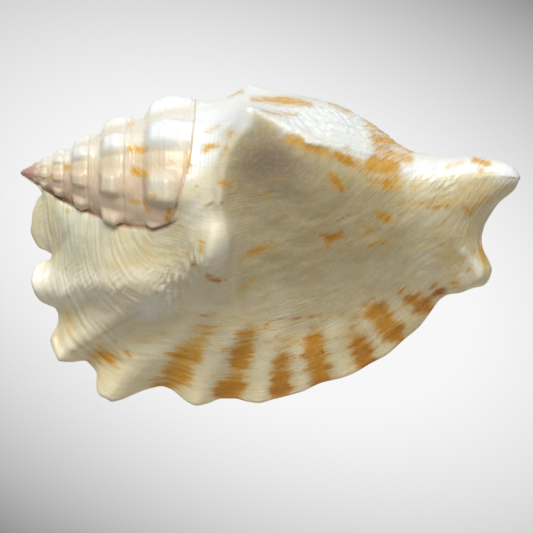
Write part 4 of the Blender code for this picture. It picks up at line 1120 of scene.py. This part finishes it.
# Gloss, less of it on the stains, and the finest relief
gloss = reckon("ADD", 0.28, reckon("MULTIPLY", mottle, 0.22), reckon("MULTIPLY", stained, 0.06))
links.new(gloss, surface.inputs["Roughness"])
links.new(reckon("SUBTRACT", 0.5, reckon("MULTIPLY", stained, 0.38)), surface.inputs["Specular IOR Level"])
links.new(reckon("SUBTRACT", 0.22, reckon("MULTIPLY", stained, 0.2)), surface.inputs["Coat Weight"])
surface.inputs["Coat Roughness"].default_value = 0.12
line_height = reckon("ADD", 0.08, reckon("MULTIPLY", lip_here, 0.20))
height = reckon(
    "ADD", reckon("MULTIPLY", fine_lines, between(mottle, 0.3, 0.7), line_height),
    reckon("MULTIPLY", cord_lines, 0.14), reckon("MULTIPLY", grit, 0.06),
)
bump = nodes.new("ShaderNodeBump")
bump.inputs["Strength"].default_value = 1.0
bump.inputs["Distance"].default_value = MM
links.new(height, bump.inputs["Height"])
links.new(bump.outputs["Normal"], surface.inputs["Normal"])

shell.data.materials.append(grown_shell)
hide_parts("conch_shell")
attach(shell, "root")


# The floor
# A plain pale sheet under the shell that glows by itself and so takes no shadow. Its glow is painted light:
# near white in the middle and falling off to the edges, most towards two opposite corners.
GLOW_MIDDLE, GLOW_MOST, GLOW_LEAST = 1.01, 0.93, 0.25
GLOW_FALLS = (0.17, 0.18, 0.35)  # along x, along the diagonal, along y, at half a picture from its middle
FLOOR_HALF = 3.0  # metres
HALF_PICTURE = 0.075
GLOW_BELOW = 0.006  # how far the glow's middle lies from the shell's, towards the lip
floor_mesh = bpy.data.meshes.new("pale_floor")
SIDES = [(-1, -1), (1, -1), (1, 1), (-1, 1)]
corners = [(x_side * FLOOR_HALF, y_side * FLOOR_HALF, 0) for x_side, y_side in SIDES]
floor_mesh.from_pydata(corners, [], [(0, 1, 2, 3)])
floor = bpy.data.objects.new("pale_floor", floor_mesh)
bpy.context.scene.collection.objects.link(floor)
backdrop = bpy.data.materials.new("glowing_backdrop")
backdrop.use_nodes = True
nodes = backdrop.node_tree.nodes
links = backdrop.node_tree.links
surface = nodes["Principled BSDF"]
floor_places = nodes.new("ShaderNodeSeparateXYZ")
links.new(nodes.new("ShaderNodeTexCoord").outputs["Object"], floor_places.inputs[0])
floor_x = reckon("DIVIDE", floor_places.outputs[0], HALF_PICTURE)
floor_y = reckon("DIVIDE", reckon("ADD", floor_places.outputs[1], GLOW_BELOW), HALF_PICTURE)
glow = reckon(
    "SUBTRACT", GLOW_MIDDLE, reckon("MULTIPLY", floor_x, floor_x, GLOW_FALLS[0]),
    reckon("MULTIPLY", floor_x, floor_y, GLOW_FALLS[1]), reckon("MULTIPLY", floor_y, floor_y, GLOW_FALLS[2]),
)
glow = reckon("MAXIMUM", reckon("MINIMUM", glow, GLOW_MOST), GLOW_LEAST)
surface.inputs["Base Color"].default_value = (0, 0, 0, 1)
surface.inputs["Emission Color"].default_value = (1, 1, 1, 1)
surface.inputs["Specular IOR Level"].default_value = 0.0
links.new(glow, surface.inputs["Emission Strength"])
floor_mesh.materials.append(backdrop)


# Studio light
# A large cool window-like light beyond the shell's back, a soft one overhead and a dim warm one in front.
# A faint warm light from all round fills the shadows.
LIT_PLACE = Vector((0, 0, 0.02))
ROOM_COLOUR, ROOM_STRENGTH = (1.0, 0.98, 0.95, 1), 0.17


def soft_light(name, place, size, watts, colour):
    lamp = bpy.data.lights.new(name, "AREA")
    lamp.shape = "RECTANGLE"
    lamp.size, lamp.size_y = size
    lamp.energy = watts
    lamp.color = colour
    light = bpy.data.objects.new(name, lamp)
    light.location = place
    light.rotation_euler = (LIT_PLACE - light.location).to_track_quat("-Z", "Y").to_euler()
    bpy.context.scene.collection.objects.link(light)


soft_light("back_window", (-0.15, 0.90, 1.10), (0.9, 0.6), 20.0, (0.95, 0.99, 1.0))
soft_light("overhead", (0.1, -0.1, 1.6), (1.0, 1.0), 4.0, (1.0, 0.98, 0.94))
soft_light("front_fill", (0.2, -1.2, 0.6), (1.0, 0.6), 0.8, (1.0, 0.93, 0.84))

world = bpy.data.worlds.new("studio")
world.use_nodes = True
room_light = world.node_tree.nodes["Background"]
room_light.inputs["Color"].default_value = ROOM_COLOUR
room_light.inputs["Strength"].default_value = ROOM_STRENGTH
bpy.context.scene.world = world
bpy.context.scene.view_settings.view_transform = "Standard"


# Camera
# Straight above the shell, far enough away that its height hardly spreads it. The picture's middle is
# where the photo has it on the shell.
VIEW_WIDTH = 0.15014  # metres across the picture at the height of the shell's outline
CAMERA_HEIGHT = 2.4
LOOKED_AT_HEIGHT = 0.02
PICTURE_MIDDLE = (69.44, -26.62)  # in the shell's own millimetres
SENSOR_WIDTH = 36.0
CLIP_END = 20.0
lens = bpy.data.cameras.new("overhead_camera")
lens.sensor_width = SENSOR_WIDTH
lens.lens = SENSOR_WIDTH * (CAMERA_HEIGHT - LOOKED_AT_HEIGHT) / VIEW_WIDTH
lens.clip_end = CLIP_END
camera = bpy.data.objects.new("overhead_camera", lens)
camera.location = (
    (PICTURE_MIDDLE[0] - REST_PLACE[0]) * MM,
    (PICTURE_MIDDLE[1] - REST_PLACE[1]) * MM,
    CAMERA_HEIGHT,
)
bpy.context.scene.collection.objects.link(camera)
bpy.context.scene.camera = camera
